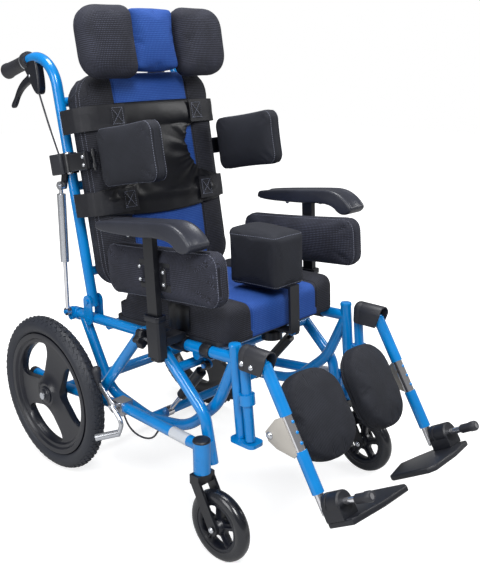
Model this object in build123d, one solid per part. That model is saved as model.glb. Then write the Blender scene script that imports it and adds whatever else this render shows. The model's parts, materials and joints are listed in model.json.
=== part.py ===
from build123d import *
import os
from math import atan2, cos, degrees, hypot, radians, sin

# Tilting and reclining positioning wheelchair, in millimetres.
# +Z is up and the floor is at zero, the chair faces -Y, and +X is the user's left.
# Every piece is drawn once for the left side and mirrored for the right.

# Fits and clearances
SHAFT_FIT = 0.05
FLAT_FIT = 0.3
SOFT_GAP = 3.0

# Frame tubes
TUBE_R = 12.7
CROSS_R = 11.0
PIN_R = 6.0
BOLT_R = 5.0
HEAD_T = 4.0

# Rear wheels
WHEEL_R = 200.0
WHEEL_X = 261.0
TYRE_R = 24.0
RIM_R = 158.0
RIM_RING = 18.0
RIM_W = 36.0
SPOKE_T = 24.0
HUB_R = 30.0
HUB_IN = 25.0
HUB_OUT = 29.0
WINDOW_IN = 50.0
WINDOW_OUT = 134.0
WINDOW_HALF_ANGLE = 36.0
WINDOW_FILLET = 13.0
WHEEL_SPOKES = 3
AXLE_Y = 260.0

# Casters
CASTER_R = 79.0
CASTER_TYRE_R = 14.0
CASTER_SPOKES = 4
CASTER_HUB_R = 15.0
CASTER_HUB_W = 33.0
CASTER_RIM_R = 56.0
CASTER_RIM_RING = 9.0
CASTER_SPOKE_W = 14.0
CASTER_SPOKE_T = 18.0
CASTER_TRAIL = 52.0
FORK_T = 6.0
FORK_W = 26.0
FORK_GAP = 36.0
CROWN_T = 22.0
STEM_R = 10.0
HEAD_X = 258.0
HEAD_Y = -282.0
HEAD_R = 18.5
HEAD_LOW = 184.0
HEAD_HIGH = 255.0

# Base rails and arches
RAIL_X = 219.0
RAIL_BEND_Y = 20.0
RAIL_BEND_Z = 221.0
RAIL_FRONT_Z = 242.0
RAIL_END_Y = 400.0
RAIL_END_Z = 203.0
RAIL_BEND_R = 150.0
ARCH_X = 220.0
ARCH_FOOT = (-275.0, 186.0)
ARCH_KNEE = (-254.0, 292.0)
ARCH_APEX = (-76.0, 452.0)
ARCH_HEEL_Y = 131.0
ARCH_KNEE_R = 60.0
ARCH_APEX_R = 40.0
FRONT_CROSS = (-165.0, 372.0)
AXLE_TUBE_R = 14.0
GUSSET_T = 8.0

# Tilting seat
PIVOT = (-76.0, 436.0)
SEAT_TILT = 2.7
SEAT_X = 188.0
SEAT_Z = 411.6
SEAT_REAR = 246.0
UPRIGHT_TOP = (-312.0, 452.0)
UPRIGHT_LOW = (-331.0, 258.0)
LUG_IN = 192.0
LUG_OUT = 203.0
LUG_R = 14.0
ROCKER = [(206.0, 402.0), (112.0, 228.0), (-35.0, 200.0), (-165.0, 222.0), (-262.0, 310.0), (-312.0, 420.0)]
ROCKER_R = [75.0, 150.0, 150.0, 150.0]
SEAT_CROSS_FRONT = (-195.0, -18.0)
SEAT_CROSS_REAR = (112.0, -10.0)
SEAT_CROSS_LOW = (-38.0, 203.0)
CUSHION_W = 374.0
PAN_IN = 1.0
PAN_HALF = CUSHION_W / 2 - PAN_IN
PAN_T = 10.0
PAN_FRONT = -276.0
PAN_REAR = 84.0
CUSHION_FRONT = -292.0
CUSHION_REAR = 86.0
CUSHION_STEP = (46.0, 54.0)
CUSHION_T = 66.0
CUSHION_CROWN = 10.0
CUSHION_EDGE = 12.0
CUSHION_CORNER = 40.0

# Tilt gas springs
TILT_X = 152.0
TILT_TOP = (-188.0, 366.0)
TILT_LOW = (-62.0, 217.0)
TILT_BARREL_R = 12.5
TILT_BARREL_FROM = 24.0
TILT_BARREL_TO = 125.0
TILT_ROD_FROM = 78.0
GAS_ROD_R = 5.0
EYE_R = 10.0
EYE_T = 11.0
LINK_T = 6.0

# Reclining back
BACK_LEAN = 10.0
HINGE = (166.0, 448.0)
HINGE_R = 15.0
HINGE_PLATE_T = 5.0
CANE_TOP = 590.0
CANE_BEND_R = 78.0
CANE_END = (200.0, CANE_TOP - 17.0)
BACK_CROSS = [70.0, 276.0, CANE_TOP - 120.0]
BACK_BOTTOM = 20.0
BACK_TOP = CANE_TOP - 65.0
BACK_W = 406.0
BACK_T = 81.0
BACK_CROWN = 14.0
BACK_EDGE = 14.0
BACK_CORNER = 44.0
BACK_FRONT_OF_CANE = 18.25
VEST_T = 5.0
VEST_HALF = [(0, 450), (118, 450), (118, 394), (92, 388), (76, 350), (98, 282), (148, 262), (200, 258),
             (200, 205), (100, 189), (0, 186)]
GRIP_R = 17.5
GRIP_FROM = 0.10
HOUSING_Y = 76.0
HOUSING_TOP = CANE_TOP - 24.0
HOUSING_LOW = CANE_TOP - 84.0
HOUSING_W = 24.0
LEVER_PIVOT = (92.0, CANE_TOP - 45.0)
LEVER_KNEE = (138.0, CANE_TOP - 56.0)
LEVER_TIP = (192.0, CANE_TOP - 104.0)
LEVER_W = 12.0
LEVER_T = 9.0
LEVER_PIN_R = 3.0
CABLE_R = 2.2

# Recline gas springs
RECLINE_X = 214.0
RECLINE_LOW = (238.0, 410.0)
RECLINE_TOP = (229.0, 723.0)
RECLINE_BARREL_R = 10.5
RECLINE_BARREL = 165.0
RECLINE_ROD_IN = 60.0

# Headrest
STEM_TUBE_R = 8.0
HEADREST_Y = 26.0
HEADREST_ARM_Z = CANE_TOP + 2.0
STEM_DROP = 94.0
HEADREST_LOW = HEADREST_ARM_Z - 72.0
HEADREST_HIGH = HEADREST_ARM_Z + 64.0
HEADREST_W = 122.0
HEADREST_T = 44.0
HEADREST_BACK = 104.0
WING_LOW = HEADREST_ARM_Z - 93.0
WING_HIGH = HEADREST_ARM_Z + 63.0
WING_W = 144.0
WING_T = 52.0
WING_CORNER = 40.0
WING_BACK = 114.0

# Trunk pads
TRUNK_Z = 330.0
TRUNK_CLAMP_H = 48.0
TRUNK_CLAMP_R = 18.0
TRUNK_ARM_X = 214.0
TRUNK_ARM_T = 5.0
TRUNK_HINGE = (205.0, -121.0)
TRUNK_PIN_R = 4.0
TRUNK_KNUCKLE_R = 7.0
TRUNK_SWING_GAP = 2.0
TRUNK_PAD_L = 196.0
TRUNK_PAD_H = 134.0
TRUNK_PAD_T = 38.0
TRUNK_PAD_X = 206.0

# Armrests and hip pads
POST_X = 256.0
POST_Y = -150.0
POST_T = 14.0
POST_W = 30.0
POST_LOW = -10.0
POST_HIGH = 254.0
SOCKET_WALL = 10.0
SOCKET_LOW = -14.0
SOCKET_HIGH = 80.0
SOCKET_KNOB_Z = 19.0
SOCKET_KNOB_R = 20.0
ARM_PAD_W = 58.0
ARM_PAD = [(-4, 246), (-4, 266), (-14, 271), (-205, 284), (-244, 284), (-274, 272), (-298, 250),
           (-298, 238), (-284, 228), (-262, 228), (-240, 248), (-190, 252), (-150, 246)]
HIP_L = 350.0
HIP_H = 114.0
HIP_T = 40.0
HIP_Y = -150.0
HIP_Z = 163.0
HIP_PITCH = 2.5

# Pommel
POMMEL_W = 86.0
POMMEL_L = 132.0
POMMEL_H = 106.0
POMMEL_Y = -236.0
POMMEL_Z = 114.0
BAR_W = 30.0
BAR_T = 6.0
BAR_Y = -316.0
BAR_REAR = -205.0
KNOB_R = 24.0
KNOB_Y = -246.0
KNOB_H = 18.0

# Legrests
LEG_X = 194.0
LEG_ANGLE = 31.5
KNEE = (-384.0, 439.0)
LEG_OFFSET = 13.0
STRAP_OUT = LEG_OFFSET + 9.0
HANGER_GAP = 29.5
HANGER_R = 11.0
HANGER_TOP = 436.0
HANGER_LOW = 260.0
HANGER_PIN_H = 24.0
RING_LOW = 340.0
RING_HIGH = 362.0
RING_R = 16.5
COVER_R = 16.0
COVER_HALF = 17.0
TONGUE_T = 9.0
TONGUE_R = 18.0
SLEEVE_TOP = 30.0
SLEEVE_END = 115.0
SLIDE_R = 10.5
LOWER_TOP = 188.0
LOWER_END = 275.0
FOOT_STEM_R = 9.5
FOOT_STEM_TOP = 205.0
FOOT_STEM_END = 318.0
FOOT_AXIS = 300.0
FOOT_PIN_END = 106.0
FOOT_KNOB_END = 140.0
FOOT_KNOB_R = 9.0
FOOT_BLOCK_R = 21.0
FOOT_BLOCK = (26.0, 72.0)
PLATE_TOP = 329.0
PLATE_T = 13.0
PLATE_OUTLINE = [(18, 24), (-26, -20), (-60, -46), (-148, -12), (-153, -4), (-153, 92), (-140, 106),
                 (-60, 104), (18, 88)]
CALF_T = 140.0
CALF_L = 188.0
CALF_W = 134.0
CALF_THICK = 46.0
CALF_BACK = -30.0
CALF_X = -88.0
CALF_ROD = -37.0
CALF_PLATE = [(-48, 118), (-48, 150), (-34, 178), (18, 178), (18, 118)]

# Wheel locks
LOCK_PIVOT = (30.0, 230.0)
LOCK_GRIP = (75.0, 328.0)
LOCK_BAR = (43.0, 162.0)
LOCK_X = 250.0
LOCK_T = 6.0
LOCK_BAR_IN = 228.0
LOCK_BAR_OUT = 288.0
LOCK_BAR_R = 6.0
LOCK_GRIP_R = 8.5
LOCK_GRIP_L = 42.0


def frame_at(origin, lean):
    """A frame with X across and Z leaning back by the given angle."""
    angle = radians(lean)
    return Plane(origin=origin, x_dir=(1, 0, 0), z_dir=(0, sin(angle), cos(angle)))


SEAT = frame_at((0, 0, SEAT_Z), SEAT_TILT)
BACK = frame_at((0, HINGE[0], HINGE[1]), BACK_LEAN)
LEG = Plane(origin=(LEG_X, KNEE[0], KNEE[1]), x_dir=(1, 0, 0),
            z_dir=(0, -sin(radians(LEG_ANGLE)), -cos(radians(LEG_ANGLE))))


def put(frame, shape):
    return frame.location * shape


def rod(start, end, radius, bore=0.0):
    """A round bar or tube between two points."""
    axis = Vector(*end) - Vector(*start)
    plane = Plane(origin=start, z_dir=axis)
    bar = extrude(plane * Circle(radius), amount=axis.length)
    if bore:
        bar -= extrude(plane * Circle(bore), amount=axis.length)
    return bar


def across(point, radius, x_from, x_to, bore=0.0):
    """A round bar along X through a (y, z) point."""
    return rod((x_from, *point), (x_to, *point), radius, bore)


def bent_tube(points, radii, radius):
    path = FilletPolyline(*points, radius=radii)
    return sweep(Plane(origin=path @ 0, z_dir=path % 0) * Circle(radius), path=path)


def slab(outline, x_from, x_to):
    """A flat plate across X with a (y, z) outline."""
    face = Plane.YZ.offset(x_from) * make_face(Polyline(*outline, close=True))
    return extrude(face, amount=x_to - x_from)


def block(x, y, z):
    """A box from three (low, high) spans."""
    size = [high - low for low, high in (x, y, z)]
    middle = [(high + low) / 2 for low, high in (x, y, z)]
    return Pos(*middle) * Box(*size)


def link(start, end, radius, x_from, x_to):
    """A flat bar across X with round ends on two (y, z) points."""
    along = Vector(end[0] - start[0], end[1] - start[1])
    side = Vector(-along.Y, along.X).normalized() * radius
    outline = [(start[0] + side.X, start[1] + side.Y), (start[0] - side.X, start[1] - side.Y),
               (end[0] - side.X, end[1] - side.Y), (end[0] + side.X, end[1] + side.Y)]
    bar = slab(outline, x_from, x_to)
    return bar + across(start, radius, x_from, x_to) + across(end, radius, x_from, x_to)


def pad_outline(length, width, corner, pull, height):
    """A rounded rectangle whose long and short sides are drawn in between the corners."""
    x, y = width / 2, length / 2
    near = corner * (1 - cos(radians(45)))
    edges = []
    for sx, sy in ((1, 1), (-1, 1), (-1, -1), (1, -1)):
        first = (sx * x, sy * (y - corner)) if sx == sy else (sx * (x - corner), sy * y)
        last = (sx * (x - corner), sy * y) if sx == sy else (sx * x, sy * (y - corner))
        edges.append(ThreePointArc(first, (sx * (x - near), sy * (y - near)), last))
    sides = []
    for index, middle in enumerate(((0, y - pull), (-(x - pull), 0), (0, -(y - pull)), (x - pull, 0))):
        sides.append(ThreePointArc(edges[index] @ 1, middle, edges[(index + 1) % 4] @ 0))
    outline = [edge for pair in zip(edges, sides) for edge in pair]
    return Pos(0, 0, height) * make_face(Wire(outline))


def pad(length, width, thick, crown, edge=9.0, corner=26.0, pull=3.0, roundness=0.35):
    """A stuffed pad along Y: flat back at zero, drawn-in or bulging sides and a crowned face at +Z."""
    levels = [(0.0, edge), (thick * 0.3, 0.0), (thick * 0.75, 0.0), (thick, edge),
              (thick + crown, edge * 3.2)]
    outlines = []
    for height, inset in levels:
        small = min(length, width) - 2 * inset
        round_off = min(corner, small * roundness)
        outlines.append(pad_outline(length - 2 * inset, width - 2 * inset, round_off, pull, height))
    return loft(outlines)


def channels(body, length, spacing, top, depth=5.0, width=4.0):
    """Sewn channels along a pad, either side of its middle panel."""
    for side in (-1, 1):
        body -= Pos(side * spacing, 0, top) * Box(width, length, 2 * depth)
    return body


def largest(shape):
    """The biggest solid left after a cut."""
    return max(shape.solids(), key=lambda solid: solid.volume)


def right_of(shape):
    return mirror(shape, about=Plane.YZ)


def both(shape):
    return [shape, right_of(shape)]


nodes = {}


def pair(name, *shapes):
    """The same pieces left and right, as two nodes."""
    nodes[name + "_left"] = list(shapes)
    nodes[name + "_right"] = [right_of(shape) for shape in shapes]


def group(name, *shapes):
    """Left pieces and their mirror images in one node."""
    nodes[name] = [copy for shape in shapes for copy in both(shape)]


def point_on(start, end, distance):
    """A (y, z) point at a distance from start towards end."""
    span = hypot(end[0] - start[0], end[1] - start[1])
    share = distance / span
    return (start[0] + (end[0] - start[0]) * share, start[1] + (end[1] - start[1]) * share)


# Base frame
HEAD_AXIS = ((HEAD_X, HEAD_Y, HEAD_LOW), (HEAD_X, HEAD_Y, HEAD_HIGH))
AXLE = (AXLE_Y, WHEEL_R)
rail_line = [(HEAD_X, HEAD_Y, RAIL_FRONT_Z), (RAIL_X, RAIL_BEND_Y, RAIL_BEND_Z), (RAIL_X, AXLE_Y, WHEEL_R),
             (RAIL_X, RAIL_END_Y, RAIL_END_Z)]
heel_share = (ARCH_HEEL_Y - RAIL_BEND_Y) / (AXLE_Y - RAIL_BEND_Y)
ARCH_HEEL = (ARCH_HEEL_Y, RAIL_BEND_Z + (WHEEL_R - RAIL_BEND_Z) * heel_share)


def base_rail(arch):
    rail = bent_tube(rail_line, RAIL_BEND_R, TUBE_R)
    gusset = block((ARCH_X, HEAD_X), (HEAD_Y, HEAD_Y + GUSSET_T), (ARCH_FOOT[1] + 8, RAIL_FRONT_Z))
    frame = rail + rod(*HEAD_AXIS, HEAD_R) + gusset - arch
    return frame - rod(*HEAD_AXIS, STEM_R + SHAFT_FIT) - across(AXLE, PIN_R, 0, WHEEL_X)


def base_arch():
    line = [(ARCH_X, *point) for point in (ARCH_FOOT, ARCH_KNEE, ARCH_APEX, ARCH_HEEL)]
    return bent_tube(line, [ARCH_KNEE_R, ARCH_APEX_R], TUBE_R) - across(PIVOT, PIN_R, 0, WHEEL_X)


rail_bar = bent_tube(rail_line, RAIL_BEND_R, TUBE_R)
arch_left = base_arch() - rail_bar
rail_left = base_rail(arch_left)
group("base_rails", rail_left)
group("base_arches", arch_left)

LINK_IN = TILT_X - EYE_T / 2 - 1.0 - LINK_T
LINK_OUT = LINK_IN + LINK_T


def base_cross_tubes():
    front = across(FRONT_CROSS, CROSS_R, -ARCH_X, ARCH_X)
    for arch in both(arch_left):
        front -= arch
    lug = link(FRONT_CROSS, TILT_TOP, EYE_R - 1, LINK_IN, LINK_OUT)
    lug += across(TILT_TOP, BOLT_R, LINK_OUT, TILT_X + EYE_T / 2 + HEAD_T)
    for one in both(lug):
        front += one
    rear = across(AXLE, AXLE_TUBE_R, -RAIL_X, RAIL_X)
    for rail in both(rail_left):
        rear -= rail
    for pin_hole in both(across(AXLE, PIN_R, RAIL_X - TUBE_R - 1, RAIL_X)):
        rear -= pin_hole
    return [front, largest(rear)]


nodes["base_cross_tubes"] = base_cross_tubes()
HUB_FACE = WHEEL_X + HUB_OUT
tilt_pin = across(PIVOT, PIN_R, LUG_IN - 1, ARCH_X + TUBE_R + 1)
tilt_pin += across(PIVOT, PIN_R + 4, ARCH_X + TUBE_R + 1, ARCH_X + TUBE_R + 1 + HEAD_T)
axle = across(AXLE, PIN_R, RAIL_X - TUBE_R, HUB_FACE + FLAT_FIT)
axle += across(AXLE, PIN_R + 3, HUB_FACE + FLAT_FIT, HUB_FACE + FLAT_FIT + HEAD_T)
group("pivot_pins", tilt_pin, axle)


def lock_mount():
    y, z = LOCK_PIVOT
    clamp = block((RAIL_X - TUBE_R - 4, RAIL_X + TUBE_R + 4), (y - 18, y + 18), (z - 25, z + 8)) - rail_bar
    return largest(clamp) + across(LOCK_PIVOT, BOLT_R, RAIL_X + TUBE_R + 3, LOCK_X + LOCK_T / 2 + HEAD_T)


mount_left = lock_mount()
group("brake_mounts", mount_left)

lock_lever = link(LOCK_PIVOT, LOCK_GRIP, 8.0, LOCK_X - LOCK_T / 2, LOCK_X + LOCK_T / 2)
lock_lever += link(LOCK_PIVOT, LOCK_BAR, 7.0, LOCK_X - LOCK_T / 2, LOCK_X + LOCK_T / 2)
lock_lever += across(LOCK_BAR, LOCK_BAR_R, LOCK_BAR_IN, LOCK_BAR_OUT)
lock_lever -= across(LOCK_PIVOT, BOLT_R + SHAFT_FIT, 0, WHEEL_X)
grip_low = point_on(LOCK_GRIP, LOCK_PIVOT, 14.0)
grip_high = point_on(LOCK_GRIP, LOCK_PIVOT, 14.0 - LOCK_GRIP_L)
lock_grip = rod((LOCK_X, *grip_low), (LOCK_X, *grip_high), LOCK_GRIP_R)
pair("brake_lever", lock_lever, lock_grip - lock_lever)

# A cable that hangs in a loop under the right rail between the wheel-lock clamp and the rail.
cable_line = [(-224.0, 20.0, 205.0), (-226.0, 8.0, 186.0), (-229.0, -24.0, 172.0), (-232.0, -64.0, 174.0),
              (-235.0, -98.0, 188.0), (-237.0, -118.0, 212.0), (-238.0, -124.0, 228.0)]
brake_cable = bent_tube(cable_line, [14.0, 30.0, 50.0, 40.0, 30.0], CABLE_R) - right_of(rail_bar)
brake_cable -= right_of(mount_left)
nodes["brake_cable"] = [largest(brake_cable)]


# Rear wheels
def wheel_window():
    angle = radians(WINDOW_HALF_ANGLE)
    corners = [(WINDOW_IN, 0), (WINDOW_OUT * 0.96 * cos(angle), -WINDOW_OUT * 0.96 * sin(angle)),
               (WINDOW_OUT, 0), (WINDOW_OUT * 0.96 * cos(angle), WINDOW_OUT * 0.96 * sin(angle))]
    face = make_face(Polyline(*corners, close=True))
    return extrude(fillet(face.vertices(), WINDOW_FILLET), amount=SPOKE_T, both=True)


def rear_wheel():
    disc = Cylinder(RIM_R, SPOKE_T)
    for index in range(WHEEL_SPOKES):
        disc -= Rot(0, 0, 360 / WHEEL_SPOKES * index + 90) * wheel_window()
    ring = Cylinder(RIM_R, RIM_W) - Cylinder(RIM_R - RIM_RING, RIM_W)
    hub = Pos(0, 0, (HUB_OUT - HUB_IN) / 2) * Cylinder(HUB_R, HUB_OUT + HUB_IN)
    wheel = disc + ring + hub - Cylinder(PIN_R + SHAFT_FIT, 4 * HUB_OUT)
    return Pos(WHEEL_X, *AXLE) * Rot(0, 90, 0) * wheel


def rear_tyre():
    tyre = Torus(WHEEL_R - TYRE_R, TYRE_R) - Cylinder(RIM_R, 4 * TYRE_R)
    return Pos(WHEEL_X, *AXLE) * Rot(0, 90, 0) * tyre


pair("rear_wheel", rear_wheel())
pair("rear_tyre", rear_tyre())

# Casters
CASTER = (HEAD_Y - CASTER_TRAIL, CASTER_R)
CROWN_TOP = HEAD_LOW - FLAT_FIT


def caster_fork():
    stem = rod((HEAD_X, HEAD_Y, CROWN_TOP), (HEAD_X, HEAD_Y, HEAD_HIGH - 2), STEM_R)
    crown_y = (HEAD_Y - FORK_W / 2, HEAD_Y + FORK_W / 2)
    half = FORK_GAP / 2 + FORK_T
    crown = block((HEAD_X - half, HEAD_X + half), crown_y, (CROWN_TOP - CROWN_T, CROWN_TOP))
    fork = stem + crown
    for x in (HEAD_X - half, HEAD_X + FORK_GAP / 2):
        fork += link((HEAD_Y, CROWN_TOP - FORK_W / 2), CASTER, FORK_W / 2, x, x + FORK_T)
    reach = half + HEAD_T
    return fork + across(CASTER, BOLT_R, HEAD_X - reach, HEAD_X + reach)


def caster_wheel():
    tyre = Torus(CASTER_R - CASTER_TYRE_R, CASTER_TYRE_R) - Cylinder(CASTER_RIM_R, 4 * CASTER_TYRE_R)
    rim = Cylinder(CASTER_RIM_R, CASTER_SPOKE_T) - Cylinder(CASTER_RIM_R - CASTER_RIM_RING, CASTER_SPOKE_T)
    rim += Cylinder(CASTER_HUB_R, CASTER_HUB_W)
    reach = CASTER_RIM_R - CASTER_RIM_RING / 2
    for index in range(CASTER_SPOKES):
        spoke = Pos(reach / 2, 0, 0) * Box(reach, CASTER_SPOKE_W, CASTER_SPOKE_T * 0.7)
        rim += Rot(0, 0, 360 / CASTER_SPOKES * index + 45) * spoke
    rim -= Cylinder(BOLT_R + SHAFT_FIT, 2 * CASTER_HUB_W)
    place = Pos(HEAD_X, *CASTER) * Rot(0, 90, 0)
    return [place * rim, place * tyre]


pair("caster_fork", caster_fork())
pair("caster_wheel", *caster_wheel())


# Tilting seat
def upright_y(z):
    share = (z - UPRIGHT_LOW[1]) / (UPRIGHT_TOP[1] - UPRIGHT_LOW[1])
    return UPRIGHT_LOW[0] + (UPRIGHT_TOP[0] - UPRIGHT_LOW[0]) * share


def hanger_point(z):
    """A point on the axis that the legrest swings about."""
    return (LEG_X, upright_y(z) - HANGER_GAP, z)


PLATE_LOW = UPRIGHT_LOW[1] - 8.0


def seat_tube():
    top = (SEAT_X, *UPRIGHT_TOP)
    low = (SEAT_X, *UPRIGHT_LOW)
    front = upright_y(SEAT_Z)
    tube = put(SEAT, rod((SEAT_X, SEAT_REAR, 0), (SEAT_X, front, 0), TUBE_R)) + rod(low, top, TUBE_R)
    plate = block((SEAT_X - 17, LEG_X + 18), (UPRIGHT_LOW[0] - HANGER_GAP - 20, UPRIGHT_LOW[0] + 17),
                  (PLATE_LOW, UPRIGHT_LOW[1]))
    plate = fillet(plate.edges().filter_by(Axis.Z), 12.0)
    pin_top = HANGER_LOW + HANGER_PIN_H
    tube += plate + rod(hanger_point(UPRIGHT_LOW[1] - 2), hanger_point(pin_top - 2), PIN_R)
    ring = rod(hanger_point(RING_LOW), hanger_point(RING_HIGH), RING_R)
    web_y = upright_y(RING_LOW)
    ring += block((SEAT_X - 4, LEG_X + 4), (web_y - HANGER_GAP, web_y), (RING_LOW + 3, RING_HIGH - 3))
    tube += ring - rod(hanger_point(RING_LOW - 9), hanger_point(RING_HIGH + 9), HANGER_R + SHAFT_FIT)
    lug = across(PIVOT, LUG_R, LUG_IN, LUG_OUT)
    lug += block((LUG_IN, LUG_OUT), (PIVOT[0] - LUG_R, PIVOT[0] + LUG_R), (SEAT_Z + 2, PIVOT[1]))
    return tube + lug - across(PIVOT, PIN_R + SHAFT_FIT, 0, WHEEL_X)


seat_tube_left = seat_tube()
group("seat_tubes", seat_tube_left)
rocker_bar = bent_tube([(SEAT_X, *point) for point in ROCKER], ROCKER_R, TUBE_R)
rocker_left = largest(rocker_bar - seat_tube_left)
group("seat_rockers", rocker_left)


def seat_cross_tubes():
    tubes = [put(SEAT, across(SEAT_CROSS_FRONT, CROSS_R, -SEAT_X, SEAT_X)),
             put(SEAT, across(SEAT_CROSS_REAR, CROSS_R, -SEAT_X, SEAT_X))]
    low = across(SEAT_CROSS_LOW, CROSS_R, -SEAT_X, SEAT_X)
    tubes.append(low)
    coped = []
    for tube in tubes:
        for side in both(seat_tube_left) + both(rocker_left):
            tube -= side
        coped.append(largest(tube))
    lug = link(SEAT_CROSS_LOW, TILT_LOW, EYE_R - 1, LINK_IN, LINK_OUT)
    for one in both(lug):
        coped[2] += one
    return coped


nodes["seat_cross_tubes"] = seat_cross_tubes()
PAN_LOW = TUBE_R + FLAT_FIT
CUSHION_LOW = PAN_LOW + PAN_T + FLAT_FIT
pan = block((-PAN_HALF, PAN_HALF), (PAN_FRONT, PAN_REAR), (PAN_LOW, PAN_LOW + PAN_T))
pan = fillet(pan.edges().filter_by(Axis.Z), 20.0)
CLAMP_R = TUBE_R + 4.5
CLAMP_HALF = 22.0
for notch in both(block((SEAT_X - CLAMP_R - 1, SEAT_X), (POST_Y - CLAMP_HALF - 1, POST_Y + CLAMP_HALF + 1),
                        (0, PAN_LOW + PAN_T))):
    pan -= notch
nodes["seat_pan"] = [put(SEAT, pan)]


def seat_cushion():
    length = CUSHION_REAR - CUSHION_FRONT
    body = pad(length, CUSHION_W, CUSHION_T, CUSHION_CROWN, edge=CUSHION_EDGE, corner=CUSHION_CORNER)
    body = channels(body, length, CUSHION_W * 0.27, CUSHION_T + CUSHION_CROWN)
    body = Pos(0, (CUSHION_FRONT + CUSHION_REAR) / 2, CUSHION_LOW) * body
    step_y, step_z = CUSHION_STEP
    body -= block((-CUSHION_W, CUSHION_W), (step_y, CUSHION_REAR + 9), (step_z, step_z + CUSHION_T))
    return put(SEAT, body)


nodes["seat_cushion"] = [seat_cushion()]


def arm_socket():
    hole_x = POST_T / 2 + FLAT_FIT
    hole_y = POST_W / 2 + FLAT_FIT
    shell = block((POST_X - hole_x - SOCKET_WALL, POST_X + hole_x + SOCKET_WALL),
                  (POST_Y - hole_y - SOCKET_WALL, POST_Y + hole_y + SOCKET_WALL), (SOCKET_LOW, SOCKET_HIGH))
    shell = fillet(shell.edges().filter_by(Axis.Z), 5.0)
    clamp_y = (POST_Y - CLAMP_HALF, POST_Y + CLAMP_HALF)
    shell += block((SEAT_X, POST_X - hole_x), (POST_Y - 18, POST_Y + 18), (TUBE_R - 3, TUBE_R + 20))
    shell += rod((SEAT_X, clamp_y[0], 0), (SEAT_X, clamp_y[1], 0), CLAMP_R)
    shell -= rod((SEAT_X, clamp_y[0] - 9, 0), (SEAT_X, clamp_y[1] + 9, 0), TUBE_R + SHAFT_FIT)
    shell -= block((POST_X - hole_x, POST_X + hole_x), (POST_Y - hole_y, POST_Y + hole_y),
                   (POST_LOW - FLAT_FIT, SOCKET_HIGH))
    back = POST_Y + hole_y + SOCKET_WALL
    knob_z = SOCKET_KNOB_Z
    knob = rod((POST_X, back, knob_z), (POST_X, back + 14, knob_z), BOLT_R)
    knob += rod((POST_X, back + 14, knob_z), (POST_X, back + 32, knob_z), SOCKET_KNOB_R)
    return put(SEAT, shell), put(SEAT, knob)


group("arm_sockets", *arm_socket())

PLATE_GAP = TUBE_R + 0.5
HINGE_IN = SEAT_X - PLATE_GAP - HINGE_PLATE_T
HINGE_OUT = SEAT_X + PLATE_GAP + HINGE_PLATE_T


def back_hinge():
    y, z = HINGE
    pieces = across(HINGE, PIN_R, HINGE_IN - HEAD_T, HINGE_OUT + HEAD_T)
    seat_z = SEAT_Z - y * sin(radians(SEAT_TILT))
    for x in (HINGE_IN, SEAT_X + PLATE_GAP):
        plate = link(HINGE, (y, seat_z), HINGE_R, x, x + HINGE_PLATE_T)
        pieces += plate + across((y, seat_z), PIN_R, x - HEAD_T / 2, x + HINGE_PLATE_T + HEAD_T / 2)
    pieces -= seat_tube_left
    collar = rod((SEAT_X, SEAT_REAR - 24, 0), (SEAT_X, SEAT_REAR, 0), TUBE_R + 3.0, TUBE_R + SHAFT_FIT)
    low_y, low_z = RECLINE_LOW
    ear_in = RECLINE_X - EYE_T / 2 - 1.0 - HINGE_PLATE_T
    ear = link(RECLINE_LOW, (low_y, low_z - 14), EYE_R, ear_in - 6, ear_in + HINGE_PLATE_T)
    collar_bore = put(SEAT, rod((SEAT_X, 0, 0), (SEAT_X, SEAT_REAR + 9, 0), TUBE_R + SHAFT_FIT))
    ear = put(SEAT, collar) + (ear - collar_bore)
    ear += across(RECLINE_LOW, BOLT_R, ear_in + HINGE_PLATE_T, RECLINE_X + EYE_T / 2 + HEAD_T)
    return pieces, ear


group("back_hinges", *back_hinge())


# Tilt gas springs
def tilt_spring():
    def on_line(distance):
        return (TILT_X, *point_on(TILT_TOP, TILT_LOW, distance))
    length = hypot(TILT_LOW[0] - TILT_TOP[0], TILT_LOW[1] - TILT_TOP[1])
    eye = across(TILT_TOP, EYE_R, TILT_X - EYE_T / 2, TILT_X + EYE_T / 2)
    neck = rod(on_line(0), on_line(TILT_BARREL_FROM + 1), EYE_T / 2 - 0.6)
    barrel = rod(on_line(TILT_BARREL_FROM), on_line(TILT_BARREL_TO), TILT_BARREL_R)
    cylinder = eye + neck + barrel - across(TILT_TOP, BOLT_R + SHAFT_FIT, 0, WHEEL_X)
    cylinder -= rod(on_line(TILT_BARREL_FROM + 5), on_line(TILT_BARREL_TO + 1), GAS_ROD_R + SHAFT_FIT)
    rod_bar = rod(on_line(TILT_ROD_FROM), on_line(length - 4), GAS_ROD_R)
    head = across(TILT_LOW, EYE_R + 2, TILT_X - EYE_T / 2, TILT_X + EYE_T / 2 + 6)
    head += across(TILT_LOW, BOLT_R - 1, LINK_OUT + 0.4, TILT_X - EYE_T / 2 + 1)
    return cylinder, rod_bar + head


cylinder_left, tilt_rod_left = tilt_spring()
group("tilt_cylinders", cylinder_left)
group("tilt_rods", tilt_rod_left)


# Reclining back, drawn in the back's own leaning frame
def cane():
    line = [(SEAT_X, 0, -HINGE_R + 1), (SEAT_X, 0, CANE_TOP), (SEAT_X, *CANE_END)]
    bar = bent_tube(line, [CANE_BEND_R], TUBE_R)
    return bar - across((0, 0), PIN_R + SHAFT_FIT, 0, WHEEL_X)


cane_left = cane()
group("back_canes", put(BACK, cane_left))


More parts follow.
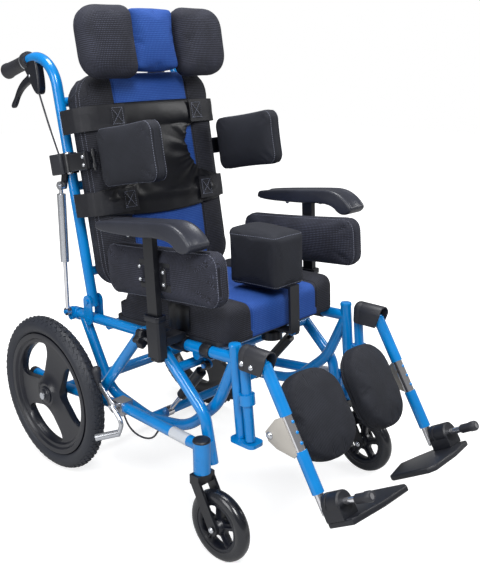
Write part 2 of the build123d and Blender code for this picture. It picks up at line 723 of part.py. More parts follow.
def back_cross_tubes():
    tubes = []
    for height in BACK_CROSS:
        tube = across((0, height), CROSS_R, -SEAT_X, SEAT_X)
        for side in both(cane_left):
            tube -= side
        tubes.append(largest(tube))
    top = BACK_CROSS[-1]
    socket = rod((0, HEADREST_Y, top - 30), (0, HEADREST_Y, top + 30), STEM_TUBE_R + 5)
    tubes[-1] += socket + block((-8, 8), (0, HEADREST_Y), (top - 8, top + 8))
    tubes[-1] -= rod((0, HEADREST_Y, top - 40), (0, HEADREST_Y, top + 40), STEM_TUBE_R + SHAFT_FIT)
    return [put(BACK, tube) for tube in tubes]


nodes["back_cross_tubes"] = back_cross_tubes()
UPWARD = Rot(90, 0, 0)


def back_cushion():
    length = BACK_TOP - BACK_BOTTOM
    body = pad(length, BACK_W, BACK_T, BACK_CROWN, edge=BACK_EDGE, corner=BACK_CORNER)
    body = channels(body, length, BACK_W * 0.27, BACK_T + BACK_CROWN)
    return put(BACK, Pos(0, -BACK_FRONT_OF_CANE, (BACK_TOP + BACK_BOTTOM) / 2) * UPWARD * body)


nodes["back_cushion"] = [back_cushion()]
VEST_Y = BACK_FRONT_OF_CANE + BACK_T + BACK_CROWN + FLAT_FIT
vest_outline = VEST_HALF + [(-x, z) for x, z in VEST_HALF[-2:0:-1]]
vest = extrude(make_face(Polyline(*vest_outline, close=True)), amount=VEST_T)
nodes["vest_panel"] = [put(BACK, Pos(0, -VEST_Y, 0) * UPWARD * vest)]


GRIP_START = (SEAT_X, CANE_END[0] * 0.5, CANE_TOP + (CANE_END[1] - CANE_TOP) * 0.5)
GRIP_END = (SEAT_X, CANE_END[0] + 4, CANE_END[1] - 0.4)


def push_grip():
    grip = rod(GRIP_START, GRIP_END, GRIP_R)
    return grip - cane_left


def lever_housing():
    low = (SEAT_X - HOUSING_W / 2, SEAT_X + HOUSING_W / 2)
    body = block(low, (HOUSING_Y - 14, HOUSING_Y + 24), (HOUSING_LOW, HOUSING_TOP))
    body = fillet(body.edges().filter_by(Axis.X), 8.0)
    body += across((HOUSING_Y + 10, CANE_TOP - 7), GRIP_R + 2, *low)
    half = LEVER_W / 2 + FLAT_FIT
    body -= block((SEAT_X - half, SEAT_X + half), (LEVER_PIVOT[0] - 12, HOUSING_Y + 90),
                  (LEVER_PIVOT[1] - 22, LEVER_PIVOT[1] + 12))
    body += across(LEVER_PIVOT, LEVER_PIN_R, *low)
    return largest(body - cane_left - rod(GRIP_START, GRIP_END, GRIP_R))


grip_left = push_grip()
housing_left = lever_housing()
group("push_grips", put(BACK, grip_left), put(BACK, housing_left))

lever_span = (SEAT_X - LEVER_W / 2, SEAT_X + LEVER_W / 2)
lever = link(LEVER_PIVOT, LEVER_KNEE, LEVER_T / 2 + 1, *lever_span)
lever += link(LEVER_KNEE, LEVER_TIP, LEVER_T / 2, *lever_span)
lever += across(LEVER_PIVOT, LEVER_T / 2 + 3, *lever_span)
lever -= across(LEVER_PIVOT, LEVER_PIN_R + SHAFT_FIT, 0, WHEEL_X)
pair("handle_lever", put(BACK, lever))


def back_point(point):
    """A (y, z) point of the chair in the back's own frame."""
    local = BACK.to_local_coords(Vector(0, *point))
    return (local.Y, local.Z)


spring_top = back_point(RECLINE_TOP)


def trunk_clamp():
    low, high = TRUNK_Z - TRUNK_CLAMP_H / 2, TRUNK_Z + TRUNK_CLAMP_H / 2
    ring = rod((SEAT_X, 0, low), (SEAT_X, 0, high), TRUNK_CLAMP_R)
    arm_x = (TRUNK_ARM_X, TRUNK_ARM_X + TRUNK_ARM_T)
    pin_x, pin_y = TRUNK_HINGE
    ring += block((SEAT_X, arm_x[1]), (-9, 9), (low + 6, high - 6))
    behind = pin_y + TRUNK_SWING_GAP
    ring += block(arm_x, (behind, 9), (low + 6, high - 6))
    for z in (low + 6, high - 16):
        ear = rod((pin_x, pin_y, z), (pin_x, pin_y, z + 10), TRUNK_KNUCKLE_R)
        ring += ear + block((pin_x, arm_x[1]), (behind, behind + 4), (z, z + 10))
    gap = TRUNK_KNUCKLE_R + 4.5
    ring -= rod((pin_x, pin_y, low + 16 - FLAT_FIT), (pin_x, pin_y, high - 16 + FLAT_FIT), gap)
    ring += rod((pin_x, pin_y, low), (pin_x, pin_y, high), TRUNK_PIN_R)
    ring -= rod((SEAT_X, 0, low - 9), (SEAT_X, 0, high + 9), TUBE_R + SHAFT_FIT)
    ear_in = RECLINE_X - EYE_T / 2 - 1.0 - HINGE_PLATE_T
    lug = link((0, low + 8), spring_top, EYE_R, ear_in, ear_in + HINGE_PLATE_T)
    ring += lug - rod((SEAT_X, 0, low - 40), (SEAT_X, 0, high + 40), TUBE_R + SHAFT_FIT)
    return ring


clamp_left = trunk_clamp()
group("trunk_clamps", put(BACK, clamp_left))


def trunk_pad():
    pin_x, pin_y = TRUNK_HINGE
    low, high = TRUNK_Z - TRUNK_CLAMP_H / 2 + 16, TRUNK_Z + TRUNK_CLAMP_H / 2 - 16
    rear = pin_y - TRUNK_KNUCKLE_R - SOFT_GAP
    knuckle = rod((pin_x, pin_y, low), (pin_x, pin_y, high), TRUNK_KNUCKLE_R)
    knuckle += block((pin_x - 28, pin_x), (rear - 4, rear + 3), (low, high))
    knuckle += block((pin_x - 6, pin_x + 4), (rear, pin_y), (low, high))
    knuckle -= rod((pin_x, pin_y, low - 9), (pin_x, pin_y, high + 9), TRUNK_PIN_R + SHAFT_FIT)
    body = pad(TRUNK_PAD_L, TRUNK_PAD_H, TRUNK_PAD_T, 4.0, edge=8.0, corner=24.0)
    body = Pos(TRUNK_PAD_X, rear - FLAT_FIT - TRUNK_PAD_L / 2, TRUNK_Z) * Rot(0, -90, 0) * body
    return put(BACK, largest(body - knuckle)), put(BACK, knuckle)


pair("trunk_pad", *trunk_pad())

# A cable from each lever housing down to the top of the recline spring, pulled straight.
cable_top = (SEAT_X + 6, HOUSING_Y - 4, HOUSING_LOW + 6)
cable_end = (SEAT_X + 22, 4.0, TRUNK_Z + TRUNK_CLAMP_H / 2 - 12)
handle_cable = rod(cable_top, cable_end, CABLE_R) - cane_left - housing_left - clamp_left
group("handle_cables", put(BACK, largest(handle_cable)))


# Recline gas springs
def recline_spring():
    length = hypot(RECLINE_TOP[0] - RECLINE_LOW[0], RECLINE_TOP[1] - RECLINE_LOW[1])

    def on_line(distance):
        return (RECLINE_X, *point_on(RECLINE_LOW, RECLINE_TOP, distance))
    eye = across(RECLINE_LOW, EYE_R, RECLINE_X - EYE_T / 2, RECLINE_X + EYE_T / 2)
    barrel_low = length - 20 - RECLINE_BARREL
    bar = eye + rod(on_line(0), on_line(barrel_low + RECLINE_ROD_IN), GAS_ROD_R)
    bar -= across(RECLINE_LOW, BOLT_R + SHAFT_FIT, 0, WHEEL_X)
    barrel = rod(on_line(barrel_low), on_line(length - 20), RECLINE_BARREL_R)
    barrel -= rod(on_line(barrel_low - 1), on_line(length - 26), GAS_ROD_R + SHAFT_FIT)
    top = across(RECLINE_TOP, EYE_R, RECLINE_X - EYE_T / 2, RECLINE_X + EYE_T / 2)
    top += rod(on_line(length - 21), on_line(length), EYE_T / 2 - 0.6)
    top += across(RECLINE_TOP, BOLT_R, RECLINE_X - EYE_T / 2 - 0.5, RECLINE_X + EYE_T / 2 + HEAD_T)
    return barrel + top, bar


barrel_left, recline_rod_left = recline_spring()
group("recline_cylinders", barrel_left)
group("recline_rods", recline_rod_left)


# Headrest
WING_EDGE = Pos(HEADREST_W / 2 + 2 * SOFT_GAP, -WING_BACK, (WING_HIGH + WING_LOW) / 2)


def headrest_stem():
    line = [(0, HEADREST_Y, BACK_CROSS[-1] - STEM_DROP), (0, HEADREST_Y, HEADREST_ARM_Z),
            (0, -HEADREST_BACK + 12, HEADREST_ARM_Z)]
    stem = bent_tube(line, [30.0], STEM_TUBE_R)
    plate = block((-WING_W * 0.6, WING_W * 0.6), (-HEADREST_BACK + FLAT_FIT, -HEADREST_BACK + 12),
                  (HEADREST_ARM_Z - 26, HEADREST_ARM_Z + 26))
    strap = block((4, 70), (FLAT_FIT, 6), (-22, 22)) + block((4, 16), (FLAT_FIT, 16), (-22, 22))
    for one in both(WING_EDGE * strap):
        plate += one
    return put(BACK, stem + plate)


nodes["headrest_stem"] = [headrest_stem()]


def headrest_pads():
    centre = pad(HEADREST_HIGH - HEADREST_LOW, HEADREST_W, HEADREST_T, 6.0, corner=18.0)
    centre = Pos(0, -HEADREST_BACK, (HEADREST_HIGH + HEADREST_LOW) / 2) * UPWARD * centre
    wing = pad(WING_HIGH - WING_LOW, WING_W, WING_T, 8.0, edge=10.0, corner=WING_CORNER)
    wing = WING_EDGE * Pos(WING_W / 2, 0, 0) * UPWARD * wing
    return [put(BACK, centre)] + both(put(BACK, wing))


nodes["headrest_pads"] = headrest_pads()


# Armrests and hip pads, drawn in the seat's frame
def arm_post():
    x = (POST_X - POST_T / 2, POST_X + POST_T / 2)
    y = (POST_Y - POST_W / 2, POST_Y + POST_W / 2)
    top = POST_HIGH - 6
    post = block(x, y, (POST_LOW, top)) + block(x, (POST_Y - 50, POST_Y + 50), (top - 1, POST_HIGH))
    plate = block((POST_X - POST_T / 2 - 5, x[0]), (POST_Y - 48, POST_Y + 48), (HIP_Z - 30, HIP_Z + 30))
    return put(SEAT, post + plate)


def arm_pad():
    half = ARM_PAD_W / 2
    body = slab(ARM_PAD, POST_X - half, POST_X + half)
    rim = body.edges().filter_by(GeomType.LINE).filter_by(lambda edge: abs(edge.tangent_at(0.5).X) < 0.1)
    body = chamfer(rim, 5.0)
    pocket = POST_T / 2 + FLAT_FIT
    body -= block((POST_X - pocket, POST_X + pocket), (POST_Y - 51, POST_Y + 51), (POST_LOW, POST_HIGH))
    return put(SEAT, body)


HIP_FACE = POST_X - POST_T / 2 - 5.0 - FLAT_FIT


def hip_pad():
    body = Rot(0, -90, 0) * pad(HIP_L, HIP_H, HIP_T, 5.0, edge=9.0, corner=30.0)
    return put(SEAT, Pos(HIP_FACE, HIP_Y, HIP_Z) * Rot(-HIP_PITCH, 0, 0) * body)


pair("arm_post", arm_post())
pair("arm_pad", arm_pad())
pair("hip_pad", hip_pad())


# Pommel
def pommel():
    half = BAR_W / 2
    top = POMMEL_Z - FLAT_FIT
    low = PAN_LOW - FLAT_FIT - BAR_T
    bar = block((-half, half), (BAR_Y, POMMEL_Y + 20), (top - BAR_T, top))
    bar += block((-half, half), (BAR_Y, BAR_Y + BAR_T), (low, top))
    bar += block((-half, half), (BAR_Y, BAR_REAR), (low, low + BAR_T))
    knob = rod((0, KNOB_Y, low), (0, KNOB_Y, low - 8), BOLT_R + 3)
    knob += rod((0, KNOB_Y, low - 8), (0, KNOB_Y, low - 8 - KNOB_H), KNOB_R)
    body = pad(POMMEL_L, POMMEL_W, POMMEL_H, 6.0, edge=7.0, corner=16.0, pull=2.0)
    body = Pos(0, POMMEL_Y, POMMEL_Z) * body
    return [put(SEAT, bar), put(SEAT, knob)], put(SEAT, body)


bar_and_knob, pommel_body = pommel()
nodes["pommel_bar"] = bar_and_knob
nodes["pommel_pad"] = [pommel_body]


# Legrests
def hanger():
    tube = rod(hanger_point(HANGER_LOW), hanger_point(HANGER_TOP), HANGER_R)
    tube -= rod(hanger_point(HANGER_LOW - 9), hanger_point(HANGER_LOW + HANGER_PIN_H), PIN_R + SHAFT_FIT)
    y, z = KNEE
    rear = hanger_point(HANGER_TOP)[1]
    outline = [(rear, z - 19), (rear, z + 29), (rear - 24, z + 36), (y - 8, z + 31), (y - 20, z + 16),
               (y - 23, z)]
    x = (LEG_X - COVER_HALF, LEG_X + COVER_HALF)
    cover = slab(outline, *x) + across(KNEE, 27.0, *x)
    cover += rod(hanger_point(z - 19), hanger_point(z + 29), COVER_R)
    slot = (LEG_X - TONGUE_T / 2 - 0.5, LEG_X + TONGUE_T / 2 + 0.5)
    cover -= across(KNEE, TONGUE_R + 1, *slot)
    cover -= block(slot, (y - 60, y + TONGUE_R - 4), (z - 60, z + STRAP_OUT + 2))
    cover += across(KNEE, BOLT_R, x[0] - HEAD_T / 2, x[1] + HEAD_T / 2)
    return tube, largest(cover - tube)


pair("hanger", *hanger())
LEG_LINE = LEG_OFFSET


def along_leg(start, end, radius, bore=0.0):
    return rod((0, LEG_LINE, start), (0, LEG_LINE, end), radius, bore)


def leg_sleeves():
    upper = along_leg(SLEEVE_TOP, SLEEVE_END, TUBE_R)
    half = TONGUE_T / 2
    tongue = across((0, 0), TONGUE_R, -half, half)
    strap = [(-6, 4), (STRAP_OUT, 4), (STRAP_OUT, SLEEVE_TOP + 4), (2, SLEEVE_TOP + 4)]
    tongue += slab(strap, -half, half)
    upper += tongue
    upper -= across((0, 0), BOLT_R + SHAFT_FIT, -half - 1, half + 1)
    lower = along_leg(LOWER_TOP, LOWER_END, TUBE_R)
    lower -= along_leg(LOWER_TOP + 5, LOWER_END + 1, FOOT_STEM_R + SHAFT_FIT)
    return put(LEG, upper), put(LEG, lower)


def calf_bracket():
    tube = along_leg(SLEEVE_END, LOWER_TOP, SLIDE_R)
    collar = along_leg(CALF_T - 14, CALF_T + 14, SLIDE_R + 4)
    plate = slab(CALF_PLATE, SLIDE_R - 1, SLIDE_R + 3)
    stub = across((CALF_ROD, CALF_T), BOLT_R, CALF_X - 32, SLIDE_R + 3 + HEAD_T)
    return put(LEG, tube + collar + plate + stub)


def calf_pad():
    body = pad(CALF_L, CALF_W, CALF_THICK, 6.0, edge=8.0, corner=60.0, pull=-3.5, roundness=0.45)
    body = Pos(CALF_X, CALF_BACK, CALF_T) * Rot(-90, 0, 0) * body
    boss = across((CALF_ROD, CALF_T), BOLT_R + 4, CALF_X - 26, CALF_X + 26)
    boss += block((CALF_X - 26, CALF_X + 26), (CALF_ROD, CALF_BACK - FLAT_FIT), (CALF_T - 9, CALF_T + 9))
    boss -= across((CALF_ROD, CALF_T), BOLT_R + SHAFT_FIT, CALF_X - 40, CALF_X + 40)
    return put(LEG, body), put(LEG, boss)


def foot_stem():
    stem = along_leg(FOOT_STEM_TOP, FOOT_STEM_END, FOOT_STEM_R)
    stem += rod((0, LEG_LINE, FOOT_AXIS), (0, FOOT_PIN_END, FOOT_AXIS), BOLT_R)
    knob = rod((0, FOOT_PIN_END, FOOT_AXIS), (0, FOOT_KNOB_END, FOOT_AXIS), FOOT_KNOB_R)
    return put(LEG, stem), put(LEG, knob)


def footplate():
    low, high = FOOT_BLOCK
    body = rod((0, low, FOOT_AXIS), (0, high, FOOT_AXIS), FOOT_BLOCK_R)
    body += block((-FOOT_BLOCK_R, FOOT_BLOCK_R), FOOT_BLOCK, (FOOT_AXIS, PLATE_TOP + 1))
    face = Pos(0, 0, PLATE_TOP) * make_face(Polyline(*PLATE_OUTLINE, close=True))
    body += extrude(face, amount=PLATE_T)
    return put(LEG, body - rod((0, low - 9, FOOT_AXIS), (0, high + 9, FOOT_AXIS), BOLT_R + SHAFT_FIT))


pair("leg_sleeves", *leg_sleeves())
pair("calf_bracket", calf_bracket())
pair("calf_pad", *calf_pad())
pair("foot_stem", *foot_stem())
pair("footplate", footplate())

# The origin is on the floor under the middle of the whole chair.
boxes = [shape.bounding_box() for shapes in nodes.values() for shape in shapes]
SHIFT_Y = -(min(box.min.Y for box in boxes) + max(box.max.Y for box in boxes)) / 2
print("shift along Y", round(SHIFT_Y, 3), "nodes", len(nodes))

os.makedirs("parts", exist_ok=True)
for name, shapes in nodes.items():
    solids = [solid for shape in shapes for solid in (Pos(0, SHIFT_Y, 0) * shape).solids()]
    export_step(Compound(children=solids), f"parts/{name}.step")
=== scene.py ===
# %% [markdown]
# # A tilting wheelchair
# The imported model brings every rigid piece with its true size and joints. This lesson dresses it:
# stuffed pads, webbing, tyres, moulded plastic and painted tube, each made the way the real piece was
# made.

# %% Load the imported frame
import json
import math

import bmesh
import bpy
from mathutils import Matrix, Vector, noise
from mathutils.bvhtree import BVHTree


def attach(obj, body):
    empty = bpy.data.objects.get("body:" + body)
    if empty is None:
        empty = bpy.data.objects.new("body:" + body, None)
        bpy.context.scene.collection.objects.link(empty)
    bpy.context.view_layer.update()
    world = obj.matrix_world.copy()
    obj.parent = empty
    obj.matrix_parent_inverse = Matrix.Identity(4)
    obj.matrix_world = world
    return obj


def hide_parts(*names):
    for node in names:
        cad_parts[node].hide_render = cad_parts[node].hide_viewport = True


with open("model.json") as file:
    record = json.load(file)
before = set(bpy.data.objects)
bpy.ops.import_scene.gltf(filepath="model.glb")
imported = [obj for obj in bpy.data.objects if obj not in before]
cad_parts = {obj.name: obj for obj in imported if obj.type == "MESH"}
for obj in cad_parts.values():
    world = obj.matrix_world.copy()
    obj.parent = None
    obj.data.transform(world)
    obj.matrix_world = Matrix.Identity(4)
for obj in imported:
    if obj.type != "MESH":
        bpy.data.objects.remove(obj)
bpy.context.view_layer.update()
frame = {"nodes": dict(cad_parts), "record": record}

scene = bpy.context.scene
scene.view_settings.view_transform = "Standard"
joints = {joint["name"]: joint for joint in frame["record"]["behaviour"]["joints"]}

# %% [markdown]
# The seat, the back and each leg lean by their own angle. A piece is easier to draw in the frame that
# it leans with, so each of these gets a matrix whose X runs across the chair and whose Z runs up the
# back, up from the seat or down the leg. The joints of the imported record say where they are.

# %% Leaning frames
MM = 0.001


def leaning_frame(origin, up):
    """A frame with X across the chair and Z along the given direction."""
    z = Vector(up).normalized()
    y = z.cross(Vector((1, 0, 0)))
    turned = Matrix(((1, y.x, z.x), (0, y.y, z.y), (0, y.z, z.z)))
    return Matrix.Translation(origin) @ turned.to_4x4()


def move(x, y, z):
    """A shift given in millimetres."""
    return Matrix.Translation((x * MM, y * MM, z * MM))


def turn(degrees, axis):
    """A turn about an axis."""
    return Matrix.Rotation(math.radians(degrees), 4, axis)


def points_in(place, points):
    """Points in millimetres of a leaning frame, as points of the chair in metres."""
    return [place @ (Vector(point) * MM) for point in points]


POST_Y = -150
AXLE_Y = 260
arm = joints["armrest_height_left"]
SEAT = leaning_frame((0, arm["pos_m"][1], arm["pos_m"][2]), arm["axis"]) @ move(0, -POST_Y, 0)
BACK = leaning_frame(joints["back_recline"]["pos_m"], joints["headrest_height"]["axis"])
LEG = leaning_frame(joints["leg_elevation_left"]["pos_m"], joints["foot_length_left"]["axis"])
SHIFT = joints["rear_wheel_spin_left"]["pos_m"][1] - AXLE_Y * MM
CHAIR = Matrix.Translation((0, SHIFT, 0))
FACE_FORWARD = turn(90, "X")
FACE_SIDE = turn(-90, "Y")
ACROSS = turn(90, "Y")
BACKWARD = turn(-90, "X")
print("origin lies", round(SHIFT, 4), "m behind the drawing's own")

# %% [markdown]
# The photograph was taken from the chair's right, a little above the seat. The lens and the place of
# the camera were worked out from the wheels and the straight tubes. The shift keeps the picture
# cropped as it was.

# %% Camera
camera_data = bpy.data.cameras.new("photo_camera")
camera_data.sensor_width = 36.0
camera_data.lens = 50.74
camera_data.shift_x = 0.0038
camera_data.shift_y = 0.0344
camera = bpy.data.objects.new("photo_camera", camera_data)
scene.collection.objects.link(camera)


def aimed(place, target):
    """A matrix at a place whose -Z looks at a target, as cameras and lamps do."""
    look = (Vector(target) - Vector(place)).to_track_quat("-Z", "Y").to_matrix().to_4x4()
    return Matrix.Translation(place) @ look


azimuth, elevation, roll = math.radians(-46.17), math.radians(17.6), -0.28
towards = Vector((-math.sin(azimuth), math.cos(azimuth), -math.tan(elevation)))
camera_place = CHAIR @ Vector((-1.26893, -1.3585, 1.02664))
camera.matrix_world = aimed(camera_place, camera_place + towards) @ turn(roll, "Z")
scene.camera = camera
print("camera at", [round(value, 3) for value in camera.location])

# %% [markdown]
# Every material is built from a shader and a few texture nodes. One small function adds a node with
# its settings and links, another turns the sRGB colours that a person reads off a screen into the
# linear ones Blender wants.

# %% Colour and node helpers


def paint(code):
    """A hex sRGB colour as linear RGBA."""
    parts = [int(code[i:i + 2], 16) / 255 for i in (1, 3, 5)]
    return tuple(c / 12.92 if c <= 0.04045 else ((c + 0.055) / 1.055) ** 2.4 for c in parts) + (1.0,)


def add(tree, kind, output, inputs, **settings):
    """Add a node with its settings, and a value or another output for each input; give back one output."""
    made = tree.nodes.new(kind)
    for name, value in settings.items():
        setattr(made, name, value)
    for socket, value in inputs.items():
        if isinstance(value, bpy.types.NodeSocket):
            tree.links.new(value, made.inputs[socket])
        else:
            made.inputs[socket].default_value = value
    return made.outputs[output]


def begin(name, **sockets):
    """A new material with the Principled sockets set, its tree and its shader."""
    material = bpy.data.materials.new(name)
    material.use_nodes = True
    shader = material.node_tree.nodes["Principled BSDF"]
    for socket, value in sockets.items():
        shader.inputs[socket.replace("_", " ")].default_value = value
    return material, material.node_tree, shader


def feed(tree, shader, **outputs):
    """Link outputs to a shader's sockets."""
    for socket, output in outputs.items():
        tree.links.new(output, shader.inputs[socket.replace("_", " ")])


# %% [markdown]
# ## Hard finishes
# The tubes are steel with an azure powder coat: plastic powder melted on, glossy, with a faint orange
# peel. The black hardware is satin paint, the sockets and wheels are moulded nylon with a fine grain,
# and the rods, pins and locks are bright zinc or chrome plate. Grips, rear tyres and arm pads are
# rubber or skinned foam, dull and softly grained, and the caster tyres are smooth and glossy.

# %% Hard finishes
PATCH_MM = 60
GRAIN_DEPTH = 0.6


def coated(name, dark, light, roughness, grain_mm, bump, coat=0.0, metallic=0.0, shine=0.5):
    """Paint, plastic or plate: two close colours in soft patches, and a grain that dents the surface."""
    material, tree, shader = begin(name, Metallic=metallic, Coat_Weight=coat, Coat_Roughness=0.06,
                                   Specular_IOR_Level=shine)
    place = add(tree, "ShaderNodeTexCoord", "Object", {})
    patches = add(tree, "ShaderNodeTexNoise", "Fac",
                  {"Vector": place, "Scale": 1000 / PATCH_MM, "Detail": 3.0})
    colour = add(tree, "ShaderNodeMix", "Result",
                 {"Factor": patches, "A": paint(dark), "B": paint(light)}, data_type="RGBA")
    wear = add(tree, "ShaderNodeMapRange", "Result",
               {"Value": patches, "To Min": roughness - 0.05, "To Max": roughness + 0.07})
    grain = add(tree, "ShaderNodeTexNoise", "Fac",
                {"Vector": place, "Scale": 1000 / grain_mm, "Detail": 2.0})
    dents = add(tree, "ShaderNodeBump", "Normal",
                {"Height": grain, "Strength": bump, "Distance": GRAIN_DEPTH * MM})
    feed(tree, shader, Base_Color=colour, Roughness=wear, Normal=dents)
    return material


azure = coated("azure_powder_coated_steel", "#0067A9", "#0080CB", 0.28, 3.0, 0.05, coat=0.8, shine=0.2)
satin_black = coated("satin_black_painted_steel", "#0E0F14", "#15171D", 0.34, 2.5, 0.12)
nylon = coated("moulded_black_nylon", "#0B0D14", "#12151E", 0.46, 2.0, 0.25)
smooth_nylon = coated("smooth_moulded_nylon", "#0C0E15", "#141722", 0.32, 6.0, 0.08)
zinc = coated("bright_zinc_plate", "#B4B7BE", "#D6D9DE", 0.24, 5.0, 0.06, metallic=0.9)
silver_foil = coated("silver_foil", "#BCC2CB", "#D8DCE2", 0.38, 8.0, 0.04, metallic=0.3)
dull_zinc = coated("dull_zinc_plate", "#A8A49E", "#BDB9B2", 0.48, 5.0, 0.08, metallic=0.5)
chrome = coated("chrome_plate", "#D2D3D8", "#ECECF0", 0.10, 12.0, 0.02, metallic=0.95)
grip_rubber = coated("moulded_grip_rubber", "#1A1B21", "#25272E", 0.48, 2.5, 0.35)
skin_foam = coated("skinned_arm_foam", "#1C1E27", "#282B36", 0.40, 4.0, 0.45)
tyre_rubber = coated("tyre_rubber", "#161921", "#21252F", 0.52, 4.0, 0.4)
caster_rubber = coated("polished_caster_rubber", "#0E1016", "#171A21", 0.24, 6.0, 0.10, coat=0.3)
thread = coated("grey_polyester_thread", "#565A68", "#6C7080", 0.6, 2.0, 0.2)
print("hard finishes", len(bpy.data.materials))

# %% [markdown]
# ## Fabrics
# The pads wear a black knitted spacer mesh, and the middle of the seat, the back and the headrest a
# royal blue one. The real cells are about 2 mm and too fine to show, so they are drawn at 4 mm. The
# cells follow the UV map that each pad gets, in metres along its surface. The border between blue and
# black is a sewn line at a fixed distance from the middle of the chair, so the colour reads the
# distance across from Object coordinates. The underside of a pad is black, so each pad also stores
# how far its surface faces up, as an attribute.

# %% Fabrics
CELL_MM = 4.2
WORN_MM = 45
THREAD_DEPTH = 1.2
UNDERSIDE = -0.3


def knitted(name, dark, light, panel=None, panel_half=0.0, cell=CELL_MM, bump=0.5, roughness=0.8,
            runs="XY"):
    """Spacer mesh: threads along X, Y or both, with a second colour near the middle of the chair."""
    material, tree, shader = begin(name, Roughness=roughness, Specular_IOR_Level=0.35)
    place = add(tree, "ShaderNodeTexCoord", "Object", {})
    # A wave texture shows one band in pi / 10 units, so this gives one thread in each cell.
    wave = {"Vector": add(tree, "ShaderNodeTexCoord", "UV", {}), "Scale": math.pi / (10 * cell * MM),
            "Distortion": 0.6, "Detail": 1.0, "Detail Scale": 2.0}
    threads = [add(tree, "ShaderNodeTexWave", "Fac", wave, bands_direction=run) for run in runs]
    weave = add(tree, "ShaderNodeMath", "Value", {0: threads[0], 1: threads[-1]}, operation="MULTIPLY")
    worn = add(tree, "ShaderNodeTexNoise", "Fac",
               {"Vector": place, "Scale": 1000 / WORN_MM, "Detail": 4.0})
    shade = add(tree, "ShaderNodeMath", "Value", {0: weave, 1: worn}, operation="MULTIPLY")
    colour = add(tree, "ShaderNodeMix", "Result",
                 {"Factor": shade, "A": paint(dark), "B": paint(light)}, data_type="RGBA")
    if panel:
        across = add(tree, "ShaderNodeSeparateXYZ", "X", {"Vector": place})
        across = add(tree, "ShaderNodeMath", "Value", {0: across}, operation="ABSOLUTE")
        near = add(tree, "ShaderNodeMath", "Value", {0: across, 1: panel_half * MM}, operation="LESS_THAN")
        facing = add(tree, "ShaderNodeAttribute", "Fac", {}, attribute_name="facing")
        upper = add(tree, "ShaderNodeMath", "Value", {0: facing, 1: UNDERSIDE}, operation="GREATER_THAN")
        inside = add(tree, "ShaderNodeMath", "Value", {0: near, 1: upper}, operation="MULTIPLY")
        second = add(tree, "ShaderNodeMix", "Result",
                     {"Factor": shade, "A": paint(panel[0]), "B": paint(panel[1])}, data_type="RGBA")
        colour = add(tree, "ShaderNodeMix", "Result",
                     {"Factor": inside, "A": colour, "B": second}, data_type="RGBA")
    dents = add(tree, "ShaderNodeBump", "Normal",
                {"Height": weave, "Strength": bump, "Distance": THREAD_DEPTH * MM})
    feed(tree, shader, Base_Color=colour, Normal=dents)
    return material


BLACK_MESH = ("#15161E", "#565A70")
DARK_MESH = ("#0D0E14", "#4A4D5E")
BLUE_MESH = ("#133A80", "#3A6CBE")
SEAT_PANEL, BACK_PANEL = 108, 112
black_knit = knitted("black_knitted_spacer_mesh", *BLACK_MESH)
seat_knit = knitted("black_mesh_with_blue_seat_panel", *DARK_MESH, panel=BLUE_MESH, panel_half=SEAT_PANEL)
back_knit = knitted("black_mesh_with_blue_back_panel", *DARK_MESH, panel=BLUE_MESH, panel_half=BACK_PANEL)
blue_knit = knitted("royal_blue_spacer_mesh", *BLUE_MESH)
plain_knit = knitted("plain_black_jersey", "#15171E", "#343744", cell=2.6, bump=0.2)
ribbed_knit = knitted("ribbed_black_jersey", "#101219", "#31343F", cell=3.4, bump=0.4, runs="X")
webbing = knitted("woven_black_webbing", "#121319", "#24262F", cell=2.4, bump=0.25, roughness=0.5)
print("knitted and woven cloths at cells of", CELL_MM, "mm and less")

# %% [markdown]
# The vest is coated nylon taffeta. It is too fine to show a weave. What the eye sees is a soft shine
# and small creases.

# %% Taffeta
CREASE_MM = 34
CREASE_DEPTH = 2.0


def nylon_cloth():
    """Coated nylon taffeta: smooth, a little shiny, finely creased where it is pulled, with painted shade
    in the crease hollows.
    """
    material, tree, shader = begin("black_nylon_taffeta", Roughness=0.42, Specular_IOR_Level=0.4)
    crease_and_shade = add(tree, "ShaderNodeTexNoise", "Fac",
                 {"Vector": add(tree, "ShaderNodeTexCoord", "UV", {}), "Scale": 1000 / CREASE_MM,
                  "Detail": 3.0, "Distortion": 0.8})
    # The colour follows the crease noise: darker in the hollows of the creases and lighter on their ridges.
    # This is painted shade.
    colour = add(tree, "ShaderNodeMix", "Result",
                 {"Factor": crease_and_shade, "A": paint("#08090D"), "B": paint("#111218")}, data_type="RGBA")
    dents = add(tree, "ShaderNodeBump", "Normal",
                {"Height": crease_and_shade, "Strength": 0.3, "Distance": CREASE_DEPTH * MM})
    feed(tree, shader, Base_Color=colour, Normal=dents)
    return material


taffeta = nylon_cloth()
print("fabrics done,", len(bpy.data.materials), "materials")

# %% [markdown]
# ## Cables
# Two thin cables run straight from the lever housings down to the recline springs, and one loops
# under the right rail from the wheel lock. A cable is one smooth curve with a round section, so each
# is a NURBS spline whose control points are the route's own points.

# %% Cables
CABLE_D = 4.4


def round_curve(name, points, radius):
    """A curve object along points in metres, with a round section of a radius in millimetres."""
    curve = bpy.data.curves.new(name, "CURVE")
    curve.dimensions = "3D"
    spline = curve.splines.new("NURBS")
    spline.points.add(len(points) - 1)
    for point, co in zip(spline.points, points):
        point.co = (*co, 1.0)
    spline.order_u = min(3, len(points))
    spline.use_endpoint_u = True
    spline.resolution_u = 12
    curve.bevel_depth = radius * MM
    curve.bevel_resolution = 4
    curve.use_fill_caps = True
    piece = bpy.data.objects.new(name, curve)
    scene.collection.objects.link(piece)
    return piece


def evaluated_mesh(piece):
    """A new mesh of what a piece's curve or modifiers give."""
    return bpy.data.meshes.new_from_object(piece.evaluated_get(bpy.context.evaluated_depsgraph_get()))


